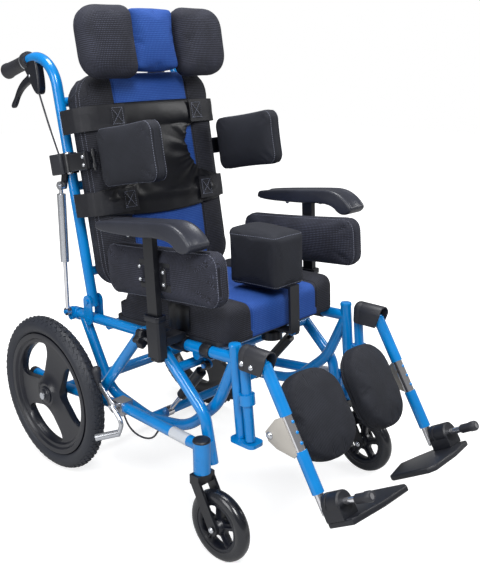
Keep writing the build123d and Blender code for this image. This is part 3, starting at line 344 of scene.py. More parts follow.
def cable(name, points, body, node):
    """A cable from inside one fitting to inside another."""
    piece = round_curve(name, points, 0.0)
    line = evaluated_mesh(piece).vertices
    piece.data.bevel_depth = CABLE_D / 2 * MM
    piece.data.materials.append(grip_rubber)
    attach(piece, body)
    if node:
        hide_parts(node)
    tuple(points[0])


LOCK_ROUTE = [(-224, 20, 205), (-226, 8, 186), (-229, -24, 172), (-232, -64, 174), (-235, -98, 188),
              (-237, -118, 212), (-238, -124, 222)]
RECLINE_ROUTE = [(194, 72, 510), (200, 50, 452), (206, 26, 396), (209.5, 6, 348)]
MIRRORED_ROUTE = [(-x, y, z) for x, y, z in RECLINE_ROUTE]
cable("wheel_lock_cable", points_in(CHAIR, LOCK_ROUTE), "base", "brake_cable")
cable("recline_cable_left", points_in(BACK, RECLINE_ROUTE), "back", "handle_cables")
cable("recline_cable_right", points_in(BACK, MIRRORED_ROUTE), "back", None)

# %% [markdown]
# ## Finishing a piece
# A piece is drawn as a bmesh in its leaning frame, moved to its place, and given its material and body
# in one call. Left and right pieces are mirror images, so the right one is a mirrored copy of the left.

# %% Finishing helpers
SHARP = math.radians(38)
ROUND = math.radians(60)
SLOTS = {
    "blue_tube": [azure],
    "black_metal": [satin_black],
    "black_plastic": [nylon, smooth_nylon],
    "bright_steel": [zinc, dull_zinc, silver_foil, chrome],
    "grip_rubber": [grip_rubber],
    "arm_foam": [skin_foam],
    "tyre": [tyre_rubber, caster_rubber],
    "pad_fabric": [thread, webbing, taffeta],
}
SLOT_OF = {material: slot for slot, materials in SLOTS.items() for material in materials}


def publish(bm, name, material, body, place=CHAIR, sharp=SHARP, slot=None):
    """Move a bmesh to its place and make it a piece that rides on a body."""
    bmesh.ops.transform(bm, matrix=place, verts=bm.verts)
    bmesh.ops.recalc_face_normals(bm, faces=bm.faces)
    mesh = bpy.data.meshes.new(name)
    bm.to_mesh(mesh)
    bm.free()
    mesh.materials.append(material)
    mesh.shade_smooth()
    mesh.set_sharp_from_angle(angle=sharp)
    piece = bpy.data.objects.new(name, mesh)
    scene.collection.objects.link(piece)
    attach(piece, body)
    slot or SLOT_OF[material]
    return piece


def both_sides(bm, name, material, body, place=CHAIR, nodes=(), sharp=SHARP, slot=None):
    """A left piece and its mirror image; a body or node that ends in _ has one for each side."""
    left = None
    for side in ("left", "right"):
        own_body = body + side if body.endswith("_") else body
        if left:
            bm = bmesh.new()
            bm.from_mesh(left.data)
            bmesh.ops.scale(bm, vec=(-1, 1, 1), verts=bm.verts)
            place = Matrix()
        piece = publish(bm, name + "_" + side, material, own_body, place, sharp, slot)
        own = [node + side for node in nodes if node.endswith("_")]
        if not left:
            own += [node for node in nodes if not node.endswith("_")]
        if own:
            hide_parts(*own)
        left = left or piece


# %% [markdown]
# A shape starts from an outline or a profile in millimetres. A plate is an outline pushed up to a
# thickness, a turned piece is a profile spun round Z, and a rod is a curve with a round section. The
# rims are softened with a bevel, because no real edge is quite sharp.

# %% Shape helpers


def soften(bm, edges, radius, segments=3):
    """Round edges by a radius in millimetres."""
    bmesh.ops.bevel(bm, geom=list(edges), offset=radius * MM, offset_type="OFFSET", segments=segments,
                    profile=0.5, affect="EDGES", clamp_overlap=True, material=-1)


def span(edge):
    """The way from one end of an edge to the other."""
    return edge.verts[0].co - edge.verts[1].co


def slab(outline, low, high, axis="X", rim=0.0, segments=3):
    """A plate with an outline in millimetres, between two distances along X or Z, with softened rims."""
    bm = bmesh.new()
    if axis == "X":
        verts = [bm.verts.new((low * MM, y * MM, z * MM)) for y, z in outline]
        step = Vector(((high - low) * MM, 0, 0))
    else:
        verts = [bm.verts.new((x * MM, y * MM, low * MM)) for x, y in outline]
        step = Vector((0, 0, (high - low) * MM))
    grown = bmesh.ops.extrude_face_region(bm, geom=[bm.faces.new(verts)])
    far_verts = [item for item in grown["geom"] if isinstance(item, bmesh.types.BMVert)]
    bmesh.ops.translate(bm, vec=step, verts=far_verts)
    bmesh.ops.recalc_face_normals(bm, faces=bm.faces)
    if rim:
        flat = step.normalized()
        soften(bm, [edge for edge in bm.edges if abs(span(edge).dot(flat)) < 1e-6], rim, segments)
    return bm


def rounded(outline, times=3):
    """An outline whose corners are cut off again and again until they are round."""
    points = [Vector(point) for point in outline]
    for _ in range(times):
        ends = zip(points, points[1:] + points[:1])
        points = [first.lerp(last, share) for first, last in ends for share in (0.25, 0.75)]
    return points


def spun(profile, segments=96):
    """A turned shape about Z from a closed profile of (radius, height) points in millimetres."""
    bm = bmesh.new()
    verts = [bm.verts.new((r * MM, 0, z * MM)) for r, z in profile]
    edges = [bm.edges.new((verts[i - 1], verts[i])) for i in range(len(verts))]
    bmesh.ops.spin(bm, geom=verts + edges, cent=(0, 0, 0), axis=(0, 0, 1), angle=math.tau, steps=segments,
                   use_merge=True)
    bmesh.ops.remove_doubles(bm, verts=bm.verts, dist=1e-6)
    bmesh.ops.recalc_face_normals(bm, faces=bm.faces)
    return bm


def repeated(bm, count):
    """Copies of a bmesh round Z."""
    bmesh.ops.spin(bm, geom=bm.verts[:] + bm.edges[:] + bm.faces[:], cent=(0, 0, 0), axis=(0, 0, 1),
                   angle=math.tau * (count - 1) / count, steps=count - 1, use_duplicate=True)
    return bm


def join(bm, other, place=Matrix()):
    """Add another bmesh's faces to this one."""
    bmesh.ops.transform(other, matrix=place, verts=other.verts)
    mesh = bpy.data.meshes.new("joined")
    other.to_mesh(mesh)
    other.free()
    bm.from_mesh(mesh)
    bpy.data.meshes.remove(mesh)
    return bm


def bar(points, radius):
    """A round bar along points in millimetres."""
    piece = round_curve("bar", [Vector(point) * MM for point in points], radius)
    bm = bmesh.new()
    bm.from_mesh(evaluated_mesh(piece))
    bpy.data.objects.remove(piece)
    return bm


def dome(radius, height):
    """A bolt head on Z: a short rim and a low round top."""
    return spun([(0.1, 0), (radius, 0), (radius, height * 0.35), (radius * 0.8, height * 0.75),
                 (radius * 0.4, height * 0.96), (0.1, height)], 28)


# %% [markdown]
# A moulded wheel has windows in its web. Prisms cut them out with an exact boolean, and a bevel that
# takes only sharp edges rounds the new rims.

# %% Cutting helpers
PRISM_HALF = 40
RIM_ANGLE = math.radians(50)


def cut(bm, cutters, rim):
    """Cut prisms out of a bmesh with an exact boolean, and round the new rims."""
    made = []
    for shape in [bm] + cutters:
        mesh = bpy.data.meshes.new("cut")
        shape.to_mesh(mesh)
        shape.free()
        made.append(bpy.data.objects.new("cut", mesh))
        scene.collection.objects.link(made[-1])
    for cutter in made[1:]:
        step = made[0].modifiers.new("window", "BOOLEAN")
        step.operation = "DIFFERENCE"
        step.object = cutter
        step.solver = "EXACT"
    bevel = made[0].modifiers.new("rim", "BEVEL")
    bevel.width = rim * MM
    bevel.segments = 3
    bevel.limit_method = "ANGLE"
    bevel.angle_limit = RIM_ANGLE
    result = bmesh.new()
    result.from_mesh(evaluated_mesh(made[0]))
    for piece in made:
        bpy.data.objects.remove(piece)
    return result


def windows(outline, count, first, corner):
    """Prisms for a ring of windows: an outline with rounded corners, turned round Z."""
    made = []
    for number in range(count):
        bm = slab(outline, -PRISM_HALF, PRISM_HALF, axis="Z")
        soften(bm, [edge for edge in bm.edges if abs(span(edge).z) > PRISM_HALF * MM], corner, 4)
        angle = math.radians(first + 360 * number / count)
        bmesh.ops.rotate(bm, cent=(0, 0, 0), matrix=Matrix.Rotation(angle, 3, "Z"), verts=bm.verts)
        made.append(bm)
    return made


# %% [markdown]
# ## Rear wheels
# The rear wheels are nylon mags, moulded in one: a hub with a domed cap, a dished web with three
# large windows, and a rim. A turned profile gives the hub, web and rim, the windows are cut out of
# it, and their rims are rounded as mould corners are.

# %% Rear wheels
WHEEL_X, WHEEL_Z = 261, 200
RIM_R = 158
MAG_PROFILE = [(7, -25), (27, -25), (31, -20), (36, -11), (58, -9), (122, -9), (134, -13), (141, -18),
               (RIM_R, -18), (RIM_R, 18), (146, 18), (142, 13), (135, 12), (131, 6), (62, 8), (44, 11),
               (34, 17), (29, 21), (7, 21)]
HUB_CAP = [(0.2, 19), (22, 19), (22, 23), (19, 25), (17, 25), (15, 27), (8, 28.4), (0.2, 28.6)]
MAG_WINDOW = [(46, -10), (82, -66), (104, -78), (121, -56), (130, -28), (132, 0), (130, 28), (121, 56),
              (104, 78), (82, 66), (46, 10)]
mag = cut(spun(MAG_PROFILE, 120), windows(MAG_WINDOW, 3, 20, 12), 2.6)
join(mag, spun(HUB_CAP, 56))
at_wheel = CHAIR @ move(WHEEL_X, AXLE_Y, WHEEL_Z) @ ACROSS
both_sides(mag, "rear_mag", smooth_nylon, "rear_wheel_", at_wheel, ["rear_wheel_"])
print("rear mags of", 2 * RIM_R, "mm")

# %% [markdown]
# The tyre is a turned ring with rows of slanted tread blocks around its crown. One block of each row
# is drawn, laid on the tyre at the row's slope, and repeated all round.

# %% Rear tyres
TYRE_R, CARCASS, TYRE_HALF = 176, 21, 22.6
RING_POINTS = 28
BLOCKS = 64
BLOCK_H, BLOCK_SKEW, EDGE_SLOPE, EDGE_SUNK = 5.4, 26, 66, 1.6
BLOCK_ROWS = [(0, 9, 6, 0), (22, 11, 7, 0.5), (-22, 11, 7, 0.5), (44, 12, 9, 0), (-44, 12, 9, 0),
              (EDGE_SLOPE, 8, 9, 0.5), (-EDGE_SLOPE, 8, 9, 0.5)]
ring_turns = [math.tau * i / RING_POINTS for i in range(RING_POINTS)]
section = [(TYRE_R + CARCASS * math.cos(angle), TYRE_HALF * math.sin(angle)) for angle in ring_turns]
tyre = spun([point for point in section if point[0] > RIM_R + 0.5], 144)
for slope, length, width, late in BLOCK_ROWS:
    block = bmesh.new()
    bmesh.ops.create_cube(block, size=1.0)
    bmesh.ops.scale(block, vec=(BLOCK_H * MM, length * MM, width * MM), verts=block.verts)
    bmesh.ops.scale(block, vec=(1, 0.8, 0.76), verts=[vert for vert in block.verts if vert.co.x > 0])
    skew = turn(math.copysign(BLOCK_SKEW, slope), "X")
    around = turn(late * 360 / BLOCKS, "Z")
    sunk = EDGE_SUNK * abs(slope) / EDGE_SLOPE
    place = around @ move(TYRE_R, 0, 0) @ turn(-slope, "Y") @ move(CARCASS - sunk, 0, 0) @ skew
    bmesh.ops.transform(block, matrix=place, verts=block.verts)
    join(tyre, repeated(block, BLOCKS))
both_sides(tyre, "rear_tyre", tyre_rubber, "rear_wheel_", at_wheel, ["rear_tyre_"], math.radians(30))
print("rear tyres with", BLOCKS * len(BLOCK_ROWS), "tread blocks each")

# %% [markdown]
# ## Casters
# A caster wheel is a polished black tyre on a nylon centre with five spokes, each stiffened by a thin
# rib. The centre is turned, windows are cut in its web, and one rib is drawn and repeated round the
# hub.

# %% Casters
CASTER = (258, -334, 79)
CASTER_PROFILE = [(5.2, -16.5), (13, -16.5), (16, -13), (18, -6), (45, -5), (49, -12), (57, -12), (57, 12),
                  (49, 12), (45, 5), (18, 6), (16, 13), (13, 16.5), (5.2, 16.5)]
CASTER_WINDOW = [(21, -6), (39, -19), (44, -13), (46, 0), (44, 13), (39, 19), (21, 6)]
CASTER_TREAD = [(56, -13), (60, -14.5), (68, -14.5), (74, -12), (77.6, -8), (79, -3), (79, 3), (77.6, 8),
                (74, 12), (68, 14.5), (60, 14.5), (56, 13)]
SPOKES = 5
FORK_HALF = 26.5
centre = cut(spun(CASTER_PROFILE, 80), windows(CASTER_WINDOW, SPOKES, 0, 5), 1.0)
rib = slab([(14, -1.4), (48, -1.4), (48, 1.4), (14, 1.4)], -11, 11, axis="Z", rim=0.6, segments=2)
bmesh.ops.transform(rib, matrix=turn(180 / SPOKES, "Z"), verts=rib.verts)
join(centre, repeated(rib, SPOKES))
at_caster = CHAIR @ move(*CASTER) @ ACROSS
both_sides(centre, "caster_centre", smooth_nylon, "caster_wheel_", at_caster, ["caster_wheel_"])
both_sides(spun(CASTER_TREAD, 96), "caster_tyre", caster_rubber, "caster_wheel_", at_caster)
for end, tip in (("outer", 1), ("inner", -1)):
    head = at_caster @ move(0, 0, FORK_HALF * tip) @ turn(90 - 90 * tip, "X")
    both_sides(dome(6.5, 4.5), "caster_bolt_" + end, zinc, "caster_fork_", head)
print("casters with", SPOKES, "spokes")

# %% [markdown]
# ## Stuffed pads
# A pad is foam in a sewn cover. The cover's cut shape is a rounded block; the foam pushes each panel
# out between the seams, and the seams stay where they are. So a block is made and turned into an even
# mesh, the seam lines are pinned, and a short cloth simulation with air pressure swells the panels.
# The swell is capped, because foam only gives a few millimetres. After that the mesh is subdivided
# once and the seams are pressed in.

# %% Pad helpers
PRESSURE = 4.0
FRAMES = 20
SEAM_HALF = 3.5 * MM
SEAM_WIDTH = 2.6 * MM


def smooth_step(value, low, high):
    """A share that runs softly from 0 at one value to 1 at another."""
    share = min(1.0, max(0.0, (value - low) / (high - low)))
    return share * share * (3 - 2 * share)


def rounded_block(width, length, thick, corner, outer=None, rim=10, low_rim=None):
    """A block in millimetres with rounded upright edges (another radius at +X if given) and soft rims."""
    bm = bmesh.new()
    bmesh.ops.create_cube(bm, size=1.0)
    bmesh.ops.scale(bm, vec=(width * MM, length * MM, thick * MM), verts=bm.verts)
    for sign, radius in ((1, outer or corner), (-1, corner)):
        upright = [edge for edge in bm.edges if edge.verts[0].co.x * sign > width * MM * 0.4
                   and abs(span(edge).z) > thick * MM / 2]
        soften(bm, upright, radius, 7)
    half = thick * MM / 2 - 1e-6
    for sign, radius in ((1, rim), (-1, low_rim or rim)):
        level = [edge for edge in bm.edges if all(vert.co.z * sign > half for vert in edge.verts)]
        soften(bm, level, radius, 4)
    return bm


def crowned(width, length, thick, crown, pull=3.0):
    """A shape function: the face rises to the middle and the sides draw in between the corners."""
    a, b, t = width * MM / 2, length * MM / 2, thick * MM / 2

    def shape(co):
        u, v = co.x / a, co.y / b
        inner_u, inner_v = max(0.0, 1 - u * u), max(0.0, 1 - v * v)
        rise = crown * MM * inner_u * inner_v * max(0.0, co.z / t)
        return Vector((co.x - math.copysign(pull * MM, co.x) * inner_v * u * u,
                       co.y - math.copysign(pull * MM, co.y) * inner_u * v * v, co.z + rise))
    return shape


# %% [markdown]
# The cloth simulation runs on the even mesh. At the end the pad gets a UV map in metres along its
# surface, and the attribute that tells top from bottom.

# %% Swelling a pad


def settle(piece):
    """Replace a piece's mesh by what its modifiers make of it."""
    mesh = evaluated_mesh(piece)
    piece.modifiers.clear()
    piece.data = mesh


def inflate(piece, seam, swell):
    """Swell the cover between its seams, by at most swell millimetres."""
    rest = [vert.co.copy() for vert in piece.data.vertices]
    group = piece.vertex_groups.new(name="seam")
    group.add([i for i, co in enumerate(rest) if seam(co) < SEAM_HALF], 1.0, "REPLACE")
    cover = piece.modifiers.new("cover", "CLOTH")
    cover.settings.use_pressure = True
    cover.settings.uniform_pressure_force = PRESSURE
    cover.settings.effector_weights.gravity = 0.0
    cover.settings.vertex_group_mass = group.name
    for step in range(1, FRAMES + 1):
        scene.frame_set(step)
    grown = piece.evaluated_get(bpy.context.evaluated_depsgraph_get()).data
    moved = [vert.co.copy() for vert in grown.vertices]
    piece.modifiers.clear()
    for vert, start, end in zip(piece.data.vertices, rest, moved):
        step = end - start
        vert.co = start + step * min(1.0, swell * MM / max(step.length, 1e-9))
    scene.frame_set(1)


def stuffed(name, bm, shape, seam, swell, depth, voxel=5.0):
    """A pad in its own frame: even mesh, shaped, swollen, subdivided, seams pressed in and UVs laid out."""
    mesh = bpy.data.meshes.new(name)
    bm.to_mesh(mesh)
    bm.free()
    piece = bpy.data.objects.new(name, mesh)
    scene.collection.objects.link(piece)
    even = piece.modifiers.new("even", "REMESH")
    even.mode = "VOXEL"
    even.voxel_size = voxel * MM
    settle(piece)
    for vert in piece.data.vertices:
        vert.co = shape(vert.co)
    inflate(piece, seam, swell)
    finer = piece.modifiers.new("finer", "SUBSURF")
    finer.levels = finer.render_levels = 1
    settle(piece)
    mesh = piece.data
    normals = [vert.normal.copy() for vert in mesh.vertices]
    for vert, normal in zip(mesh.vertices, normals):
        vert.co -= normal * depth * MM * math.exp(-(seam(vert.co) / SEAM_WIDTH) ** 2)
    weave = mesh.uv_layers.new(name="weave")
    facing = mesh.attributes.new("facing", "FLOAT", "POINT")
    facing.data.foreach_set("value", [normal.z for normal in normals])
    top = max(vert.co.z for vert in mesh.vertices)
    for loop in mesh.loops:
        co, normal = mesh.vertices[loop.vertex_index].co, normals[loop.vertex_index]
        down = top - co.z
        weave.data[loop.index].uv = (co.x + down * normal.x, co.y + down * normal.y)
    mesh.shade_smooth()
    return piece


# %% [markdown]
# A finished pad is moved to its place on the chair and gets its material. The pad on the other side is
# its mirror image.


def declare_pad(piece, body, nodes):
    """Say which body a pad rides on and which nodes it replaces."""
    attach(piece, body)
    if nodes:
        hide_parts(*nodes)
    print(piece.name, len(piece.data.polygons), "faces")


def place_pad(piece, material, body, place, nodes=()):
    piece.data.transform(place)
    piece.data.materials.clear()
    piece.data.materials.append(material)
    declare_pad(piece, body, nodes)


def mirror_pad(piece, name, body, nodes=()):
    """The mirror image of a placed pad."""
    mesh = piece.data.copy()
    mesh.transform(Matrix.Scale(-1, 4, (1, 0, 0)))
    mesh.flip_normals()
    other = bpy.data.objects.new(name, mesh)
    scene.collection.objects.link(other)
    declare_pad(other, body, nodes)


# %% [markdown]
# ### Stitches
# Sewn covers show their stitches. A line of stitches is a row of short bars of thread with gaps
# between them. For a seam that runs round a pad, the line is found by casting rays at the pad's side
# from all round.

# %% Stitches
STITCH, STITCH_LONG, STITCH_THICK = 5.0, 3.1, 1.1
RING_STEP = 2


def surface_of(piece):
    """A piece's faces as something that rays can be cast at."""
    points = [vert.co for vert in piece.data.vertices]
    return BVHTree.FromPolygons(points, [poly.vertices[:] for poly in piece.data.polygons])


def seam_ring(piece, level):
    """Points of a pad's side all round at a height in millimetres."""
    surface = surface_of(piece)
    ring = []
    for degrees in range(0, 360, RING_STEP):
        out = Vector((math.cos(math.radians(degrees)), math.sin(math.radians(degrees)), 0))
        hit = surface.ray_cast(out + Vector((0, 0, level * MM)), -out)[0]
        if hit:
            ring.append(hit)
    return ring + ring[:1]


def sewn(points):
    """A row of stitches along points in metres."""
    bm = bmesh.new()
    size = Matrix.Diagonal((STITCH_LONG * MM, STITCH_THICK * MM, STITCH_THICK * MM, 1.0))
    left = 0.0
    for start, end in zip(points, points[1:]):
        step = end - start
        heading = step.to_track_quat("X", "Z").to_matrix().to_4x4()
        while left < step.length:
            place = Matrix.Translation(start + step * (left / step.length)) @ heading
            bmesh.ops.create_cube(bm, size=1.0, matrix=place @ size)
            left += STITCH * MM
        left -= step.length
    return bm


# %% [markdown]
# ### Seat cushion
# The seat has a blue middle that runs over the front edge and two black bolsters that stand a little
# higher, with a seam between them. The part under the back is thinner. The cover is pulled down over
# the edge of the seat pan.

# %% Seat cushion
SEAT_W, SEAT_L, SEAT_T = 372, 376, 76
SEAT_MIDDLE = -103
SEAT_LOW = 15
REAR_STEP, REAR_TOP = 46, 52
BOLSTER_RISE = 10


def seat_seams(co):
    """The distance to the seams beside the panel, which end at the pad's foot."""
    return abs(abs(co.x) - SEAT_PANEL * MM) if co.z > -0.02 else 1.0


def seat_shape(co):
    """The crowned block with raised bolsters and a lower part at the rear."""
    made = crowned(SEAT_W, SEAT_L, SEAT_T, 6)(co)
    upper = max(0.0, co.z / (SEAT_T * MM / 2))
    side = min(1.0, max(0.0, (abs(co.x) / MM - SEAT_PANEL) / (SEAT_W / 2 - SEAT_PANEL)))
    made.z += BOLSTER_RISE * MM * upper * math.sin(math.pi * side)
    rear = smooth_step(co.y / MM, REAR_STEP - SEAT_MIDDLE - 14, REAR_STEP - SEAT_MIDDLE + 2)
    low_top = (REAR_TOP - SEAT_LOW - SEAT_T / 2) * MM
    made.z += (min(made.z, low_top) - made.z) * rear
    return made


seat_block = rounded_block(SEAT_W, SEAT_L, SEAT_T, 40, rim=18, low_rim=6)
seat_piece = stuffed("seat_cushion_cover", seat_block, seat_shape, seat_seams, 8, 5)
at_seat = SEAT @ move(0, SEAT_MIDDLE, SEAT_LOW + SEAT_T / 2)
place_pad(seat_piece, seat_knit, "seat", at_seat, ["seat_cushion"])

# %% [markdown]
# ### Back cushion
# The back is a tall pad with a blue middle, black sides, and an edge seam between its face and its
# side, sewn with a thread that shows.

# %% Back cushion
BACK_W, BACK_L, BACK_T = 398, 499, 84
BACK_MIDDLE, BACK_REAR = 272.5, -19.3
EDGE_SEAM, ROW_GAP = 20, 6


def back_seams(co):
    """The distance to the seams beside the panel or round the edge."""
    panel = abs(abs(co.x) - BACK_PANEL * MM) if co.z > 0 else 1.0
    near_rim = abs(co.x) > BACK_W * MM * 0.42 or abs(co.y) > BACK_L * MM * 0.44
    return min(panel, abs(co.z - EDGE_SEAM * MM) if near_rim else 1.0)


back_block = rounded_block(BACK_W, BACK_L, BACK_T, 62, rim=20)
back_shape = crowned(BACK_W, BACK_L, BACK_T, 10)
back_piece = stuffed("back_cushion_cover", back_block, back_shape, back_seams, 8, 4)
at_back = BACK @ move(0, BACK_REAR - BACK_T / 2, BACK_MIDDLE) @ FACE_FORWARD
for name, level in (("front", EDGE_SEAM + ROW_GAP), ("rear", EDGE_SEAM - ROW_GAP)):
    publish(sewn(seam_ring(back_piece, level)), "back_stitches_" + name, thread, "back", at_back)
place_pad(back_piece, back_knit, "back", at_back, ["back_cushion"])

# %% [markdown]
# ### Headrest
# Three pads on one stem: a blue middle and two black wings that stand in front of it. The wings are
# straight where they meet the middle and round at their outer ends, where the front and the rear of
# the cover are sewn together.

# %% Headrest
HEAD_W, HEAD_L, HEAD_T = 128, 138, 46
WING_W, WING_L, WING_T = 148, 164, 64
HEAD_REAR, HEAD_MIDDLE = -105, 586
WING_X, WING_REAR, WING_MIDDLE = 66, -110, 579
WING_SEAM = -8


def no_seams(co):
    """For a pad without seams: every point is far from one."""
    return 1.0


def wing_seams(co):
    """The distance to the seam round the outer end."""
    outer_end = abs(co.y) > WING_L * MM * 0.42 or co.x > WING_W * MM * 0.32
    return abs(co.z - WING_SEAM * MM) if outer_end else 1.0


head_block = rounded_block(HEAD_W, HEAD_L, HEAD_T, 12, rim=9)
head_shape = crowned(HEAD_W, HEAD_L, HEAD_T, 4, 1.5)
head_piece = stuffed("headrest_middle", head_block, head_shape, no_seams, 5, 0)
at_head = BACK @ move(0, HEAD_REAR - HEAD_T / 2, HEAD_MIDDLE) @ FACE_FORWARD
place_pad(head_piece, blue_knit, "headrest", at_head, ["headrest_pads"])
wing_block = rounded_block(WING_W, WING_L, WING_T, 30, outer=54, rim=29)
wing_shape = crowned(WING_W, WING_L, WING_T, 6)
wing_piece = stuffed("headrest_wing_left", wing_block, wing_shape, wing_seams, 7, 3.5)
at_wing = BACK @ move(WING_X + WING_W / 2, WING_REAR - WING_T / 2, WING_MIDDLE) @ FACE_FORWARD
place_pad(wing_piece, black_knit, "headrest", at_wing)
mirror_pad(wing_piece, "headrest_wing_right", "headrest")

# %% [markdown]
# ### Side supports
# The trunk pads and the hip pads are flat blocks of foam in a sewn cover: two faces and a narrow
# gusset between two seams that run round the edge.

# %% Side supports
GUSSET_SHARE, STITCH_SHARE = 0.24, 0.34


def gusset_seams(thick):
    """A seam function for a gusset in the middle of a pad's thickness."""
    level = thick * MM * GUSSET_SHARE

    def seams(co):
        return abs(abs(co.z) - level)
    return seams


def side_pad(name, width, length, thick, corner, rim, material, body, place, node):
    """A left side support, its two rows of stitches, and the same on the right."""
    block = rounded_block(width, length, thick, corner, rim=rim)
    shape = crowned(width, length, thick, 4)
    piece = stuffed(name + "_cover_left", block, shape, gusset_seams(thick), 6, 2.4, 4.5)
    for row, share in (("inner", STITCH_SHARE), ("outer", -STITCH_SHARE)):
        stitches = sewn(seam_ring(piece, thick * share))
        both_sides(stitches, name + "_stitches_" + row, thread, body, place)
    place_pad(piece, material, body + "left", place, [node + "left"])
    mirror_pad(piece, name + "_cover_right", body + "right", [node + "right"])


TRUNK_T, TRUNK_L = 40, 192
TRUNK_OUT, TRUNK_REAR, TRUNK_MIDDLE = 205, -132, 330
at_trunk = BACK @ move(TRUNK_OUT - TRUNK_T / 2, TRUNK_REAR - TRUNK_L / 2, TRUNK_MIDDLE) @ FACE_SIDE
side_pad("trunk_pad", 132, TRUNK_L, TRUNK_T, 26, 9, plain_knit, "trunk_pad_", at_trunk, "trunk_pad_")
HIP_T, HIP_OUT, HIP_MIDDLE, HIP_LEAN = 42, 243, 163, -2.5
at_hip = SEAT @ move(HIP_OUT - HIP_T / 2, POST_Y, HIP_MIDDLE) @ turn(HIP_LEAN, "X") @ FACE_SIDE
side_pad("hip_pad", 116, 352, HIP_T, 34, 11, black_knit, "armrest_", at_hip, "hip_pad_")

# %% [markdown]
# ### Pommel
# The pommel between the knees is a foam block in a cover sewn along its edges, higher at the rear.

# %% Pommel
POMMEL_W, POMMEL_L, POMMEL_H = 100, 142, 122
POMMEL_Y, POMMEL_LOW, POMMEL_RISE = -236, 107, 10
EDGE_ROW = 8


def pommel_seams(co):
    """The distance to the nearest edge of the block: near an edge, two of the three gaps are small."""
    halves = (POMMEL_W * MM / 2, POMMEL_L * MM / 2, POMMEL_H * MM / 2)
    gaps = sorted(half - abs(value) for half, value in zip(halves, co))
    return max(gaps[1], 0.0)


def pommel_shape(co):
    """The crowned block, raised towards its rear."""
    made = crowned(POMMEL_W, POMMEL_L, POMMEL_H, 7, 2.0)(co)
    upper = max(0.0, co.z / (POMMEL_H * MM / 2))
    made.z += POMMEL_RISE * MM * upper * co.y / (POMMEL_L * MM)
    return made


pommel_block = rounded_block(POMMEL_W, POMMEL_L, POMMEL_H, 13, rim=11)
pommel_piece = stuffed("pommel_cover", pommel_block, pommel_shape, pommel_seams, 1.5, 1.2, 4.0)
at_pommel = SEAT @ move(0, POMMEL_Y, POMMEL_LOW + POMMEL_H / 2)
for name, level in (("top", POMMEL_H / 2 - EDGE_ROW), ("low", EDGE_ROW - POMMEL_H / 2)):
    stitches = sewn(seam_ring(pommel_piece, level))
    publish(stitches, "pommel_stitches_" + name, thread, "pommel", at_pommel)
place_pad(pommel_piece, plain_knit, "pommel", at_pommel, ["pommel_pad"])

# %% [markdown]
# ### Calf pads
# Each calf pad is a thick oval of foam on a board, in a ribbed jersey, with the face and the side
# sewn together at the rim. It faces a little outwards.

# %% Calf pads
CALF_W, CALF_L, CALF_T = 158, 196, 48
CALF_X, CALF_FRONT, CALF_DOWN, CALF_TURN = -98, -27, 142, -8
CALF_RIM = 10


def calf_seams(co):
    """The distance to the seam round the rim."""
    return abs(co.z + CALF_RIM * MM)


calf_block = rounded_block(CALF_W, CALF_L, CALF_T, 75, rim=13)
calf_shape = crowned(CALF_W, CALF_L, CALF_T, 5)
calf_piece = stuffed("calf_pad_cover_left", calf_block, calf_shape, calf_seams, 5, 2.4, 4.0)
at_calf = LEG @ move(CALF_X, CALF_FRONT + CALF_T / 2, CALF_DOWN) @ turn(CALF_TURN, "Z") @ BACKWARD
place_pad(calf_piece, ribbed_knit, "calf_pad_left", at_calf, ["calf_pad_left"])
mirror_pad(calf_piece, "calf_pad_cover_right", "calf_pad_right", ["calf_pad_right"])

# %% [markdown]
# ### Vest panel and straps
# A nylon vest is stretched over the back: a padded band across the chest, a waist that curves in, and
# a wide foot, held by four wide straps round the sides. It is a cloth, so it starts as a flat grid
# that takes the cut outline and is laid against the cushion by casting rays at it. Folds run in from
# the two sides of the waist, where it is pulled, small gathers sit along the elastic edges, and the
# hem turns up in one long fold.

# %% Vest outline and folds
VEST_LOW, VEST_HIGH, BAND_LOW = 205, 450, 394
VEST_EDGE = [(VEST_LOW, 202), (256, 202), (263, 150), (280, 106), (310, 88), (350, 76), (382, 90),
             (BAND_LOW, 118), (VEST_HIGH, 118)]
VEST_SAG = 18
CLOTH_MM = 1.6
RAY_START, PLAIN_FRONT = -260, -80
back_surface = surface_of(back_piece)
to_back = (BACK.to_3x3() @ Vector((0, 1, 0))).normalized()


def half_width(height):
    """Half the vest's width at a height, along straight lines between the points of its edge."""
    for (low, first), (high, last) in zip(VEST_EDGE, VEST_EDGE[1:]):
        if height <= high:
            return first + (last - first) * max(0.0, (height - low) / (high - low))
    return VEST_EDGE[-1][1]


def lay_on_back(x, z, lift):
    """A point of the back's front at (x, z) millimetres, lifted off it."""
    start, plain = points_in(BACK, [(x, RAY_START, z), (x, PLAIN_FRONT, z)])
    hit = back_surface.ray_cast(start, to_back)[0]
    return (hit or plain) - to_back * lift * MM


PULL_FROM = (128, 318)
STAND_OFF, LEAST_LIFT = 4.5, 2.5
FOLDS, FOLD_LIFT, FOLD_MIDDLE, FOLD_REACH = 15, 2.6, 45, 62
DRAPE_LIFT, GATHER_LIFT, RUMPLE_LIFT = 2.2, 1.8, 1.2
HEM_Z, HEM_LIFT = 232, 3.0
BAND_MIDDLE, BAND_HALF, BAND_LIFT = 422, 29, 8
EDGE_REACH = 9


